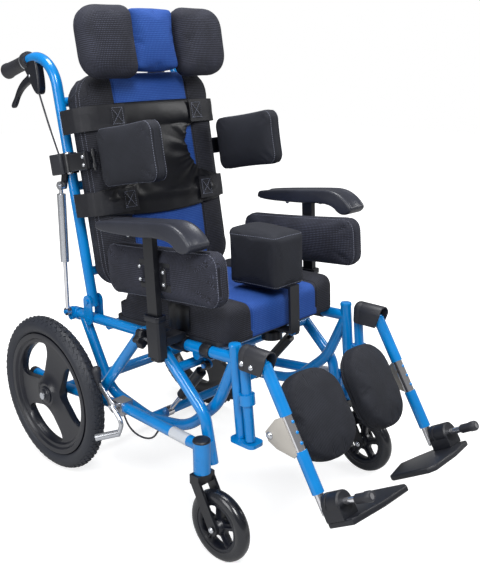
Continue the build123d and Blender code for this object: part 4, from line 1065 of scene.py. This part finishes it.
def vest_lift(x, z):
    """How far the cloth stands off the cushion: folds, gathers, the hem and the padded band."""
    lift = STAND_OFF
    for side in (-1, 1):
        out = Vector((PULL_FROM[0] - side * x, z - PULL_FROM[1]))
        fold = math.cos(FOLDS * math.atan2(out.y, out.x) + 1.3 * side)
        lift += FOLD_LIFT * fold * math.exp(-((out.length - FOLD_MIDDLE) / FOLD_REACH) ** 2)
    lift += DRAPE_LIFT * math.sin(0.045 * (z + 0.55 * x)) * smooth_step(z, 236, 262)
    to_edge = half_width(z) - abs(x)
    at_waist = smooth_step(z, 285, 305) * (1 - smooth_step(z, 372, 388))
    lift += GATHER_LIFT * math.exp(-(to_edge / EDGE_REACH) ** 2) * at_waist * math.sin(z * 0.62)
    lift += HEM_LIFT * math.exp(-((z - HEM_Z + 0.03 * x) / EDGE_REACH) ** 2)
    lift += RUMPLE_LIFT * noise.noise(Vector((x * 0.02, z * 0.03, 4.0)))
    arched = math.sqrt(max(0.0, 1 - (abs(z - BAND_MIDDLE) / BAND_HALF) ** 2))
    band = BAND_LIFT * smooth_step(z, BAND_LOW - 1, BAND_LOW + 4) * arched
    return max(LEAST_LIFT, lift * (1 - 0.7 * smooth_step(z, BAND_LOW - 8, BAND_LOW)) + band)


# %% [markdown]
# The flat grid first takes the cut outline, which gives its UV map and its area, and is then laid on
# the cushion.

# %% Vest cloth
bm = bmesh.new()
bmesh.ops.create_grid(bm, x_segments=100, y_segments=98, size=1.0)
weave = bm.loops.layers.uv.new("weave")
flat_place = {}
for vert in bm.verts:
    u, t = vert.co.x, (vert.co.y + 1) / 2
    height = VEST_LOW + (VEST_HIGH - VEST_LOW) * t
    hang = VEST_SAG * (1 - u * u) * max(0.0, 1 - t * 3) ** 2
    flat_place[vert] = (u * half_width(height), height - hang)
for face in bm.faces:
    for loop in face.loops:
        loop[weave].uv = Vector(flat_place[loop.vert]) * MM
for vert in bm.verts:
    x, z = flat_place[vert]
    vert.co = lay_on_back(x, z, vest_lift(x, z))
for _ in range(2):
    inner = [vert for vert in bm.verts if not vert.is_boundary]
    bmesh.ops.smooth_vert(bm, verts=inner, factor=0.5, use_axis_x=True, use_axis_y=True, use_axis_z=True)
vest = publish(bm, "vest_panel_cloth", taffeta, "back", Matrix())
thick = vest.modifiers.new("cloth", "SOLIDIFY")
thick.thickness = CLOTH_MM * MM
thick.offset = 0.0
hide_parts("vest_panel")

# %% [markdown]
# Each strap is a band that follows one path round the side of the back. It is sewn to the vest with a
# box and a cross of stitches.

# %% Straps
STRAP_PATH = [(100, -123), (140, -121), (170, -116), (192, -107), (205, -94), (211, -76), (212, -50),
              (210, -24), (200, -14)]
STRAP_W, STRAP_T, STRAP_WAVE = 52, 2.0, 1.2
STRAP_HALF_LENGTH = 90
BOX_FRONT = -123.6
STRAP_BOX = [(108, -18), (138, -18), (138, 18), (108, 18), (108, -18), (138, 18), (138, -18), (108, 18)]


def along(path, share):
    """A point at a share of a path's length."""
    lengths = [math.dist(p, q) for p, q in zip(path, path[1:])]
    left = share * sum(lengths)
    for length, p, q in zip(lengths, path, path[1:]):
        if left <= length:
            return tuple(first + (last - first) * left / length for first, last in zip(p, q))
        left -= length
    return path[-1]


for name, middle in (("upper", 421), ("lower", 231)):
    bm = bmesh.new()
    bmesh.ops.create_grid(bm, x_segments=48, y_segments=6, size=1.0)
    weave = bm.loops.layers.uv.new("weave")
    for face in bm.faces:
        for loop in face.loops:
            loop[weave].uv = (loop.vert.co.x * STRAP_HALF_LENGTH * MM, loop.vert.co.y * STRAP_W * MM / 2)
    for vert in bm.verts:
        x, y = along(STRAP_PATH, (vert.co.x + 1) / 2)
        wave = STRAP_WAVE * noise.noise(Vector((vert.co.x * 2.5, vert.co.y, middle)))
        vert.co = Vector((x + wave, y - wave, middle + vert.co.y * STRAP_W / 2)) * MM
    bmesh.ops.solidify(bm, geom=bm.faces[:], thickness=STRAP_T * MM)
    both_sides(bm, "vest_strap_" + name, webbing, "back", BACK)
    box = [Vector((x, BOX_FRONT, middle + z)) * MM for x, z in STRAP_BOX]
    both_sides(sewn(box), "strap_stitches_" + name, thread, "back", BACK)
print("four straps of", STRAP_W, "mm webbing")

# %% [markdown]
# On the right bolster of the seat a tab of shiny nylon is sewn into the side. It is laid on the
# cushion as the vest is laid on the back.

# %% Seat tab
TAB_Y, TAB_Z = (-178, -110), (30, 84)
TAB_T, TAB_LIFT, TAB_WAVE = 1.2, 1.4, 0.9
seat_surface = surface_of(seat_piece)
tab = bmesh.new()
bmesh.ops.create_grid(tab, x_segments=24, y_segments=18, size=1.0)
inward = SEAT.to_3x3() @ Vector((1, 0, 0))
for vert in tab.verts:
    y = TAB_Y[0] + (TAB_Y[1] - TAB_Y[0]) * (vert.co.x + 1) / 2
    z = TAB_Z[0] + (TAB_Z[1] - TAB_Z[0]) * (vert.co.y + 1) / 2
    start = SEAT @ (Vector((RAY_START, y, z)) * MM)
    lift = TAB_LIFT + TAB_WAVE * math.sin(y * 0.2)
    vert.co = seat_surface.ray_cast(start, inward)[0] - inward * lift * MM
bmesh.ops.solidify(tab, geom=tab.faces[:], thickness=TAB_T * MM)
publish(tab, "seat_tab", taffeta, "seat", Matrix())
print("seat tab laid on the right bolster")

# %% [markdown]
# ## Arm pads
# The arm pads are skinned foam moulded over a plate: a top with a raised border and a nose that
# slopes down. The side outline is drawn once and pushed across the pad's width, and the top is
# pressed in a little inside its rim.

# %% Arm pads
ARM_SIDE = [(-4, 247), (-4, 264), (-14, 271), (-205, 284), (-244, 284), (-274, 272), (-298, 250),
            (-298, 239), (-284, 229), (-262, 229), (-240, 249), (-190, 252), (-150, 247)]
POST_X, ARM_HALF = 256, 29
arm_pad = slab(rounded(ARM_SIDE, 2), POST_X - ARM_HALF, POST_X + ARM_HALF, rim=8, segments=4)
top = [face for face in arm_pad.faces if face.normal.z > 0.35 and face.calc_area() > 1e-4]
bmesh.ops.inset_region(arm_pad, faces=top, thickness=5 * MM, depth=0.0)
bmesh.ops.inset_region(arm_pad, faces=top, thickness=2 * MM, depth=-1.4 * MM)
both_sides(arm_pad, "arm_pad_skin", skin_foam, "armrest_", SEAT, ["arm_pad_"], ROUND)
for name, y, z in (("rear", -82, 243), ("middle", -188, 249)):
    at_bolt = SEAT @ move(POST_X, y, z) @ turn(180, "X")
    both_sides(dome(5, 5), "arm_bolt_" + name, zinc, "armrest_", at_bolt)
print("arm pads", 2 * ARM_HALF, "mm wide")

# %% [markdown]
# Each hip pad hangs on its armrest post by a black catch, with four screws in the pad's outer face.

# %% Hip pad fittings
HIP_FACE = 250
POST_SCREWS = {"high": (-104, 178), "low": (-104, 150), "front_high": (-178, 174), "front_low": (-178, 148)}
for name, (y, z) in POST_SCREWS.items():
    at_screw = SEAT @ move(HIP_FACE, y, z) @ ACROSS
    both_sides(dome(4.5, 4), "post_screw_" + name, zinc, "armrest_", at_screw)
CATCH = [(-186, 144), (-186, 178), (-181, 184), (-172, 184), (-168, 178), (-168, 144), (-172, 138),
         (-181, 138)]
both_sides(slab(CATCH, HIP_FACE - 4, HIP_FACE + 1, rim=1), "hip_catch", satin_black, "armrest_", SEAT)
print("hip pads held by", len(POST_SCREWS), "screws each")

# %% [markdown]
# ## Legrests
# Each leg hangs on a tube that stands on the seat frame. A rubber hood covers the joint at its top
# and is open in front, so that the leg can swing up in it. The hood is one slab behind and an arched
# shell in front of it.

# %% Hangers and knee covers
HOOD_LOW, HOOD_ROUND, HOOD_R, MOUTH_R = 419, 449, 19, 16
HOOD_REAR, SHELL_REAR, SLAB_FRONT, HOOD_FRONT = 338, 358, 372, 414
MOUTH_FROM, MOUTH_SLANT = 390, 0.35
LEG_X = 194


def arch(radius):
    """The outline of a hood: up one side, over the top and down the other."""
    turns = [math.radians(degrees) for degrees in range(0, 181, 12)]
    over = [(radius * math.cos(angle), HOOD_ROUND + radius * math.sin(angle)) for angle in turns]
    return [(radius, HOOD_LOW)] + over + [(-radius, HOOD_LOW)]


hanger = bar([(LEG_X, -360.3, 260), (LEG_X, -344.3, 424)], 11)
both_sides(hanger, "hanger_tube", azure, "hanger_", CHAIR, ["hanger_"], ROUND)
hood = slab(arch(HOOD_R), HOOD_REAR, SLAB_FRONT, axis="Z", rim=12, segments=6)
join(hood, slab(arch(HOOD_R) + arch(MOUTH_R)[::-1], SHELL_REAR, HOOD_FRONT, axis="Z", rim=1.8, segments=3))
# The mouth slants back towards its foot.
for vert in hood.verts:
    if vert.co.z > MOUTH_FROM * MM:
        vert.co.z -= MOUTH_SLANT * max(0.0, HOOD_ROUND * MM - vert.co.y)
at_hood = CHAIR @ move(LEG_X, 0, 0) @ FACE_FORWARD
both_sides(hood, "knee_hood", grip_rubber, "hanger_", at_hood, (), ROUND)
for name, y, z in (("rear", -354, 434), ("front", -379, 432)):
    at_bolt = CHAIR @ move(LEG_X + HOOD_R, y, z) @ ACROSS
    both_sides(dome(6, 4.5), "knee_bolt_" + name, zinc, "hanger_", at_bolt)
print("knee hoods", 2 * HOOD_R, "mm wide")

# %% [markdown]
# The leg itself is a blue sleeve with a chrome slide in it. A zinc plate on the slide carries the
# calf pad's pin.

# %% Leg slides and calf plates
LEG_N = 13
SLIDE_R = 10.8
stub = spun([(0.2, 6), (10, 6), (12.4, 9), (12.4, 31), (0.2, 31)], 48)
both_sides(stub, "sleeve_top", azure, "leg_", LEG @ move(0, LEG_N, 0))
slide = spun([(9, 114), (SLIDE_R, 114), (SLIDE_R, 189), (9, 189)], 48)
both_sides(slide, "chrome_slide", chrome, "leg_", LEG @ move(0, LEG_N, 0), (), ROUND)
for name, t in (("high", 130), ("middle", 152), ("low", 174)):
    at_stud = LEG @ move(0, LEG_N + SLIDE_R - 0.4, t) @ BACKWARD
    both_sides(dome(3.6, 2.6), "slide_stud_" + name, azure, "leg_", at_stud)
CALF_PLATE = [(-8, 114), (-46, 130), (-48, 150), (-34, 170), (2, 197), (13, 192), (13, 114)]
CALF_PIN = (-37, 140)
PLATE_IN, PLATE_OUT, PIN_END = 10, 14, -118
plate = slab(CALF_PLATE, PLATE_IN, PLATE_OUT, rim=1, segments=2)
join(plate, bar([(PLATE_OUT, *CALF_PIN), (PIN_END, *CALF_PIN)], 4))
both_sides(plate, "calf_plate", dull_zinc, "leg_", LEG, ["calf_bracket_"])
both_sides(dome(8, 6), "calf_bolt", zinc, "leg_", LEG @ move(PLATE_OUT - 0.5, *CALF_PIN) @ ACROSS)
print("calf plates", PLATE_OUT - PLATE_IN, "mm thick")

# %% [markdown]
# The footplates are moulded nylon: a flat tread that narrows inwards, and a round hinge block with a
# chrome pin and a knob.

# %% Footplates
TREAD = [(18, 24), (-26, -20), (-60, -46), (-148, -12), (-153, -4), (-153, 92), (-140, 106), (-60, 104),
         (18, 88)]
FOOT_AXIS, TREAD_TOP, TREAD_T = 300, 329, 13
HINGE_Y, KNOB_Y = 72, 101
foot = slab(TREAD, TREAD_TOP, TREAD_TOP + TREAD_T, axis="Z", rim=3.5, segments=3)
HINGE = [(0.2, 0), (20, 0), (23, 3), (23, 29), (21, 30), (21, 33), (23, 34), (23, 43), (20, 46), (0.2, 46)]
join(foot, spun(HINGE, 48), move(0, HINGE_Y, FOOT_AXIS) @ FACE_FORWARD)
under_hinge = [(-22, 26), (22, 26), (22, HINGE_Y), (-22, HINGE_Y)]
join(foot, slab(under_hinge, FOOT_AXIS, TREAD_TOP + 1, axis="Z", rim=2, segments=2))
both_sides(foot, "footplate_tread", nylon, "footplate_", LEG, ["footplate_"])
pin = spun([(0.2, 0), (7, 0), (7, 30), (0.2, 30)], 36)
both_sides(pin, "foot_pin", chrome, "foot_", LEG @ move(0, HINGE_Y + 0.4, FOOT_AXIS) @ BACKWARD)
KNOB = [(0.2, 0), (8.6, 0), (9.8, 2), (9.8, 22), (11, 25), (11, 36), (9, 39.5), (6, 40), (5, 36), (0.2, 36)]
at_knob = LEG @ move(0, KNOB_Y, FOOT_AXIS) @ BACKWARD
both_sides(spun(KNOB, 36), "foot_knob", grip_rubber, "foot_", at_knob, slot="black_metal")
print("footplates", TREAD_T, "mm thick")

# %% [markdown]
# ## Handles
# A rubber grip is pushed on the end of each cane. A clamp with a housing holds a squeeze lever under
# it, as a bicycle brake does.

# %% Push handles
HOUSING = [(58, 588), (116, 584), (112, 560), (100, 540), (92, 518), (80, 499), (66, 498), (58, 520),
           (56, 560)]
LEVER = [(96, 556), (112, 548), (140, 540), (165, 525), (186, 505), (200, 496), (206, 488), (200, 482),
         (188, 488), (170, 506), (146, 520), (118, 528), (98, 532)]
GRIP = [(13, -6), (20, -6), (21, -3), (21, 7), (19, 10), (17, 12), (16.6, 50), (17.4, 86), (19, 96),
        (19, 102), (16, 106), (0.2, 107)]
GRIP_RING = [(17, 8), (20.4, 8), (20.4, 11), (17, 11)]
TUBE_X = 188
HOUSING_HALF, LEVER_HALF = 11, 6
GRIP_DROP = -94.9
at_grip = BACK @ move(TUBE_X, 100, 581.5) @ turn(GRIP_DROP, "X")
both_sides(spun(GRIP, 56), "push_grip", grip_rubber, "back", at_grip, ["push_grips"], ROUND)
both_sides(spun(GRIP_RING, 48), "grip_ring", zinc, "back", at_grip)
housing = slab(rounded(HOUSING), TUBE_X - HOUSING_HALF, TUBE_X + HOUSING_HALF, rim=6, segments=5)
both_sides(housing, "lever_housing", smooth_nylon, "back", BACK, (), ROUND)
lever = slab(rounded(LEVER), TUBE_X - LEVER_HALF, TUBE_X + LEVER_HALF, rim=5, segments=4)
both_sides(lever, "squeeze_lever", smooth_nylon, "handle_lever_", BACK, ["handle_lever_"], ROUND)
at_pin = BACK @ move(TUBE_X + HOUSING_HALF - 1.5, 92, 545) @ ACROSS
both_sides(dome(4, 3), "lever_pin", zinc, "back", at_pin)
print("push handles", 2 * TUBE_X, "mm apart")

# %% [markdown]
# ## Hardware
# The frame carries small things that the eye expects. Behind each trunk pad a rubber-covered clamp
# box holds the cane, and a black arm with a zinc barrel and screws reaches forward from it to the
# pad.

# %% Trunk pad clamps
CLAMP_LOW, CLAMP_HIGH = 306, 354
BARREL = (214, -34)
BARREL_LOW, BARREL_HIGH = CLAMP_LOW + 3, CLAMP_HIGH - 3
SCREW_X, SCREW_Y, SCREW_INSET = 222.5, -103, 12


def upright_box(rear, front, low, high):
    """The side outline of a box on the back."""
    return [(rear, low), (rear, high), (front, high), (front, low)]


box = slab(upright_box(26, -20, CLAMP_LOW, CLAMP_HIGH), 204, 227, rim=5, segments=3)
both_sides(box, "trunk_clamp_box", grip_rubber, "back", BACK, slot="black_metal")
arm_box = slab(upright_box(-44, -111, CLAMP_LOW + 4, CLAMP_HIGH - 4), 207, 223, rim=4, segments=3)
barrel = spun([(0.2, BARREL_LOW), (11, BARREL_LOW), (11, BARREL_HIGH), (0.2, BARREL_HIGH)], 36)
join(arm_box, barrel, move(*BARREL, 0))
both_sides(arm_box, "trunk_arm_box", satin_black, "back", BACK)
for name, end, tip, inset in (("high", BARREL_HIGH, 0, -SCREW_INSET),
                              ("low", BARREL_LOW, 180, SCREW_INSET)):
    at_end = BACK @ move(*BARREL, end) @ turn(tip, "X")
    both_sides(dome(7, 5), "trunk_barrel_" + name, zinc, "back", at_end)
    at_screw = BACK @ move(SCREW_X, SCREW_Y, end + inset) @ ACROSS
    both_sides(dome(4.5, 3.5), "trunk_screw_" + name, zinc, "back", at_screw)
print("trunk clamps", CLAMP_HIGH - CLAMP_LOW, "mm high")

# %% [markdown]
# A wheel lock is a zinc plate with a rubber grip on top and a bent bar below. The end of the bar is
# the shoe that is pressed on the tyre.

# %% Wheel locks
LOCK_PLATE = [(18, 222), (30, 214), (42, 222), (48, 240), (88, 270), (90, 280), (80, 282), (36, 250),
              (20, 240)]
LOCK_LINK = [(250, 28, 230), (250, 8, 214), (250, -4, 196), (252, 2, 178), (254, 6, 168)]
LOCK_SHOE = [(252, 4, 172), (272, 24, 166), (291, 44, 160)]
LOCK_GRIP = [(0.2, 0), (7, 0), (8.6, 4), (9, 16), (10.6, 28), (11.4, 35), (9.6, 42), (5, 46), (0.2, 47)]
lock = slab(LOCK_PLATE, 246, 251, rim=1.2, segments=2)
join(lock, bar(LOCK_LINK, 5.5))
join(lock, bar(LOCK_SHOE, 8.5))
join(lock, dome(7, 5), move(250.5, 30, 230) @ ACROSS)
both_sides(lock, "wheel_lock", zinc, "brake_lever_", CHAIR, ["brake_lever_"], ROUND)
at_lock_grip = CHAIR @ move(249, 81, 270) @ turn(-6, "X")
both_sides(spun(LOCK_GRIP, 36), "wheel_lock_grip", grip_rubber, "brake_lever_", at_lock_grip, (), ROUND)
print("wheel locks done")

# %% [markdown]
# Tube ends are closed: a blue cap on each front upright, a nylon cap on each head tube, and a rubber
# plug in the rear end of each rail.

# %% Caps and plugs
HEAD_TUBE = (258, -282)
UPRIGHT_TOP, HEAD_TOP, RAIL_END = (-312, 451.5), 255, (219, 396, 203)
cap = spun([(0.2, 0), (13.4, 0), (13.4, 4), (12, 7), (0.2, 8.5)], 32)
both_sides(cap, "upright_cap", azure, "seat", CHAIR @ move(TUBE_X, *UPRIGHT_TOP))
cap = spun([(0.2, 0), (19, 0), (19, 2.5), (17, 5), (0.2, 6)], 40)
both_sides(cap, "head_tube_cap", nylon, "base", CHAIR @ move(*HEAD_TUBE, HEAD_TOP))
plug = spun([(0.2, 0), (13.6, 0), (13.6, 14), (12, 18), (0.2, 20)], 32)
both_sides(plug, "rail_plug", grip_rubber, "base", CHAIR @ move(*RAIL_END) @ BACKWARD)
print("tube ends closed")

# %% [markdown]
# Each armrest post stands in a moulded socket, which is hollow and grips the seat tube with a ring. A
# collar stiffens its mouth, and a star knob on a bolt clamps it.

# %% Armrest sockets
SOCKET_LOW, SOCKET_HIGH = -14, 80
BOLT_Z, KNOB_REAR = 19, -111
LOBES, LOBE_SHARE = 5, 0.16


def chamfered(width, length, corner):
    """A rectangle with its corners cut off."""
    a, b = width / 2, length / 2
    return [(a, corner - b), (a, b - corner), (a - corner, b), (corner - a, b), (-a, b - corner),
            (-a, corner - b), (corner - a, -b), (a - corner, -b)]


bore = chamfered(15, 31, 1)
socket = slab(chamfered(25, 41, 4), SOCKET_LOW, SOCKET_HIGH, axis="Z")
socket = cut(socket, [slab(bore, SOCKET_LOW + 5, SOCKET_HIGH + 10, axis="Z")], 1.2)
join(socket, slab(chamfered(21, 34, 6), SOCKET_LOW - 8, SOCKET_LOW, axis="Z", rim=3))
bridge = [(-66, -18), (-12, -18), (-12, 18), (-66, 18)]
join(socket, slab(bridge, 10, 30, axis="Z", rim=3))
tube_ring = spun([(12.8, -22), (17, -22), (17, 22), (12.8, 22)], 48)
join(socket, tube_ring, move(TUBE_X - POST_X, 0, 0) @ BACKWARD)
at_post = SEAT @ move(POST_X, POST_Y, 0)
both_sides(socket, "arm_socket", nylon, "seat", at_post, ["arm_sockets"])
collar = slab(chamfered(30, 46, 5), SOCKET_HIGH - 12, SOCKET_HIGH, axis="Z")
collar = cut(collar, [slab(bore, SOCKET_HIGH - 30, SOCKET_HIGH + 10, axis="Z")], 1.5)
both_sides(collar, "arm_socket_collar", smooth_nylon, "seat", at_post)
bolt = bar([(POST_X, POST_Y + 20, BOLT_Z), (POST_X, KNOB_REAR, BOLT_Z)], 4)
both_sides(bolt, "socket_bolt", zinc, "seat", SEAT)
star = spun([(0.2, 0), (17, 0), (19.5, 3), (19.5, 16), (17, 19), (0.2, 20)], 80)
for vert in star.verts:
    lobe = 1 + LOBE_SHARE * math.cos(LOBES * math.atan2(vert.co.y, vert.co.x))
    vert.co.x *= lobe
    vert.co.y *= lobe
at_star = SEAT @ move(POST_X, KNOB_REAR - 0.5, BOLT_Z) @ BACKWARD
both_sides(star, "socket_star_knob", nylon, "seat", at_star)
print("sockets", SOCKET_HIGH - SOCKET_LOW, "mm high")

# %% [markdown]
# A nylon band clamp sits on each seat tube, and a bare silver band is stuck round the front of each
# rail.

# %% Bands on the tubes
RAIL_FRONT, RAIL_BEND = Vector((*HEAD_TUBE, 242)), Vector((219, 20, 221))
BAND_FROM, BAND_LENGTH = 42, 62
clamp = spun([(12.6, 0), (15.4, 0), (15.8, 1), (15.8, 25), (15.4, 26), (12.6, 26)], 40)
both_sides(clamp, "tube_band_clamp", nylon, "seat", SEAT @ move(TUBE_X, -247, 0) @ BACKWARD)
along_rail = (RAIL_BEND - RAIL_FRONT).normalized()
starts = RAIL_FRONT + along_rail * BAND_FROM
silver = spun([(12.5, 0), (13.1, 0), (13.1, BAND_LENGTH), (12.5, BAND_LENGTH)], 48)
heading = along_rail.to_track_quat("Z", "Y").to_matrix().to_4x4()
both_sides(silver, "rail_silver_band", silver_foil, "base", CHAIR @ move(*starts) @ heading)
print("silver bands", BAND_LENGTH, "mm long")

# %% [markdown]
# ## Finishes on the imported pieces
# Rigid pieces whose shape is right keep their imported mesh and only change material.

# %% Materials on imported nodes
NODE_FINISH = {
    azure: ["base_rails", "base_arches", "base_cross_tubes", "seat_tubes", "seat_rockers",
            "seat_cross_tubes", "back_canes", "back_cross_tubes", "leg_sleeves_left", "leg_sleeves_right",
            "back_hinges"],
    chrome: ["recline_rods", "tilt_rods", "foot_stem_left", "foot_stem_right"],
    zinc: ["pivot_pins", "brake_mounts", "recline_cylinders"],
    satin_black: ["tilt_cylinders", "caster_fork_left", "caster_fork_right", "trunk_clamps",
                  "headrest_stem", "arm_post_left", "arm_post_right", "pommel_bar"],
    nylon: ["seat_pan"],
}
for material, names in NODE_FINISH.items():
    for name in names:
        for slot in frame["nodes"][name].material_slots:
            slot.link = "OBJECT"
            slot.material = material
print("finishes on", sum(len(names) for names in NODE_FINISH.values()), "packed nodes")

# %% [markdown]
# ## Studio
# The photograph has a white ground and soft light from above and from the front. The floor and the
# world look pure white to the camera, but the floor still takes a soft shadow.

# %% Studio floor
floor_mesh = bpy.data.meshes.new("studio_floor")
bm = bmesh.new()
bmesh.ops.create_grid(bm, x_segments=1, y_segments=1, size=8.0)
bm.to_mesh(floor_mesh)
bm.free()
floor = bpy.data.objects.new("studio_floor", floor_mesh)
scene.collection.objects.link(floor)
ground, tree, shader = begin("pale_studio_floor", Roughness=1.0, Specular_IOR_Level=0.0,
                             Base_Color=paint("#B4B4B4"), Emission_Color=paint("#FFFFFF"))
place = add(tree, "ShaderNodeTexCoord", "Object", {})
distance = add(tree, "ShaderNodeVectorMath", "Value", {"Vector": place}, operation="LENGTH")
glow = add(tree, "ShaderNodeMapRange", "Result",
           {"Value": distance, "From Min": 0.7, "From Max": 1.8, "To Min": 0.72, "To Max": 1.0})
camera_ray = add(tree, "ShaderNodeLightPath", "Is Camera Ray", {})
seen = add(tree, "ShaderNodeMath", "Value", {0: glow, 1: camera_ray}, operation="MULTIPLY")
feed(tree, shader, Emission_Strength=seen)
floor_mesh.materials.append(ground)
print("floor laid")

# %% [markdown]
# The world fills the shadows evenly. In reflections it is darker than it looks, so that black plastic
# stays black and the tubes show bright streaks from the lamps alone.

# %% World
AMBIENT, MIRRORED = 0.42, 0.22
world = bpy.data.worlds.new("studio_world")
world.use_nodes = True
scene.world = world
tree = world.node_tree
sky = tree.nodes["Background"]
sky.inputs["Color"].default_value = paint("#FFFFFF")
camera_ray = add(tree, "ShaderNodeLightPath", "Is Camera Ray", {})
glossy_ray = add(tree, "ShaderNodeLightPath", "Is Glossy Ray", {})
seen = add(tree, "ShaderNodeMath", "Value", {0: camera_ray, 1: 1.0 - AMBIENT, 2: AMBIENT},
           operation="MULTIPLY_ADD")
strength = add(tree, "ShaderNodeMath", "Value", {0: glossy_ray, 1: MIRRORED - AMBIENT, 2: seen},
               operation="MULTIPLY_ADD")
feed(tree, sky, Strength=strength)
print("world lights at", AMBIENT)

# %% [markdown]
# Four wide lamps stand round the chair: the key light at the front right, a weaker one at the front
# left, one above and a fill on the right. All of them are soft, because the photograph has no hard
# shadow.

# %% Lamps
CHAIR_MIDDLE = (0, 0, 0.5)


def lamp(name, place, size, power):
    """A wide lamp aimed at the middle of the chair."""
    data = bpy.data.lights.new(name, "AREA")
    data.shape = "RECTANGLE"
    data.size, data.size_y = size
    data.energy = power
    made = bpy.data.objects.new(name, data)
    scene.collection.objects.link(made)
    made.matrix_world = aimed(place, CHAIR_MIDDLE)


lamp("key_softbox", (-1.5, -2.2, 3.0), (0.9, 1.4), 95)
lamp("left_softbox", (2.6, -1.6, 2.2), (0.8, 1.6), 40)
lamp("top_softbox", (0.0, 0.4, 3.4), (1.6, 0.9), 85)
lamp("right_fill", (-2.8, 0.2, 1.5), (1.2, 1.8), 42)
print("studio lit")
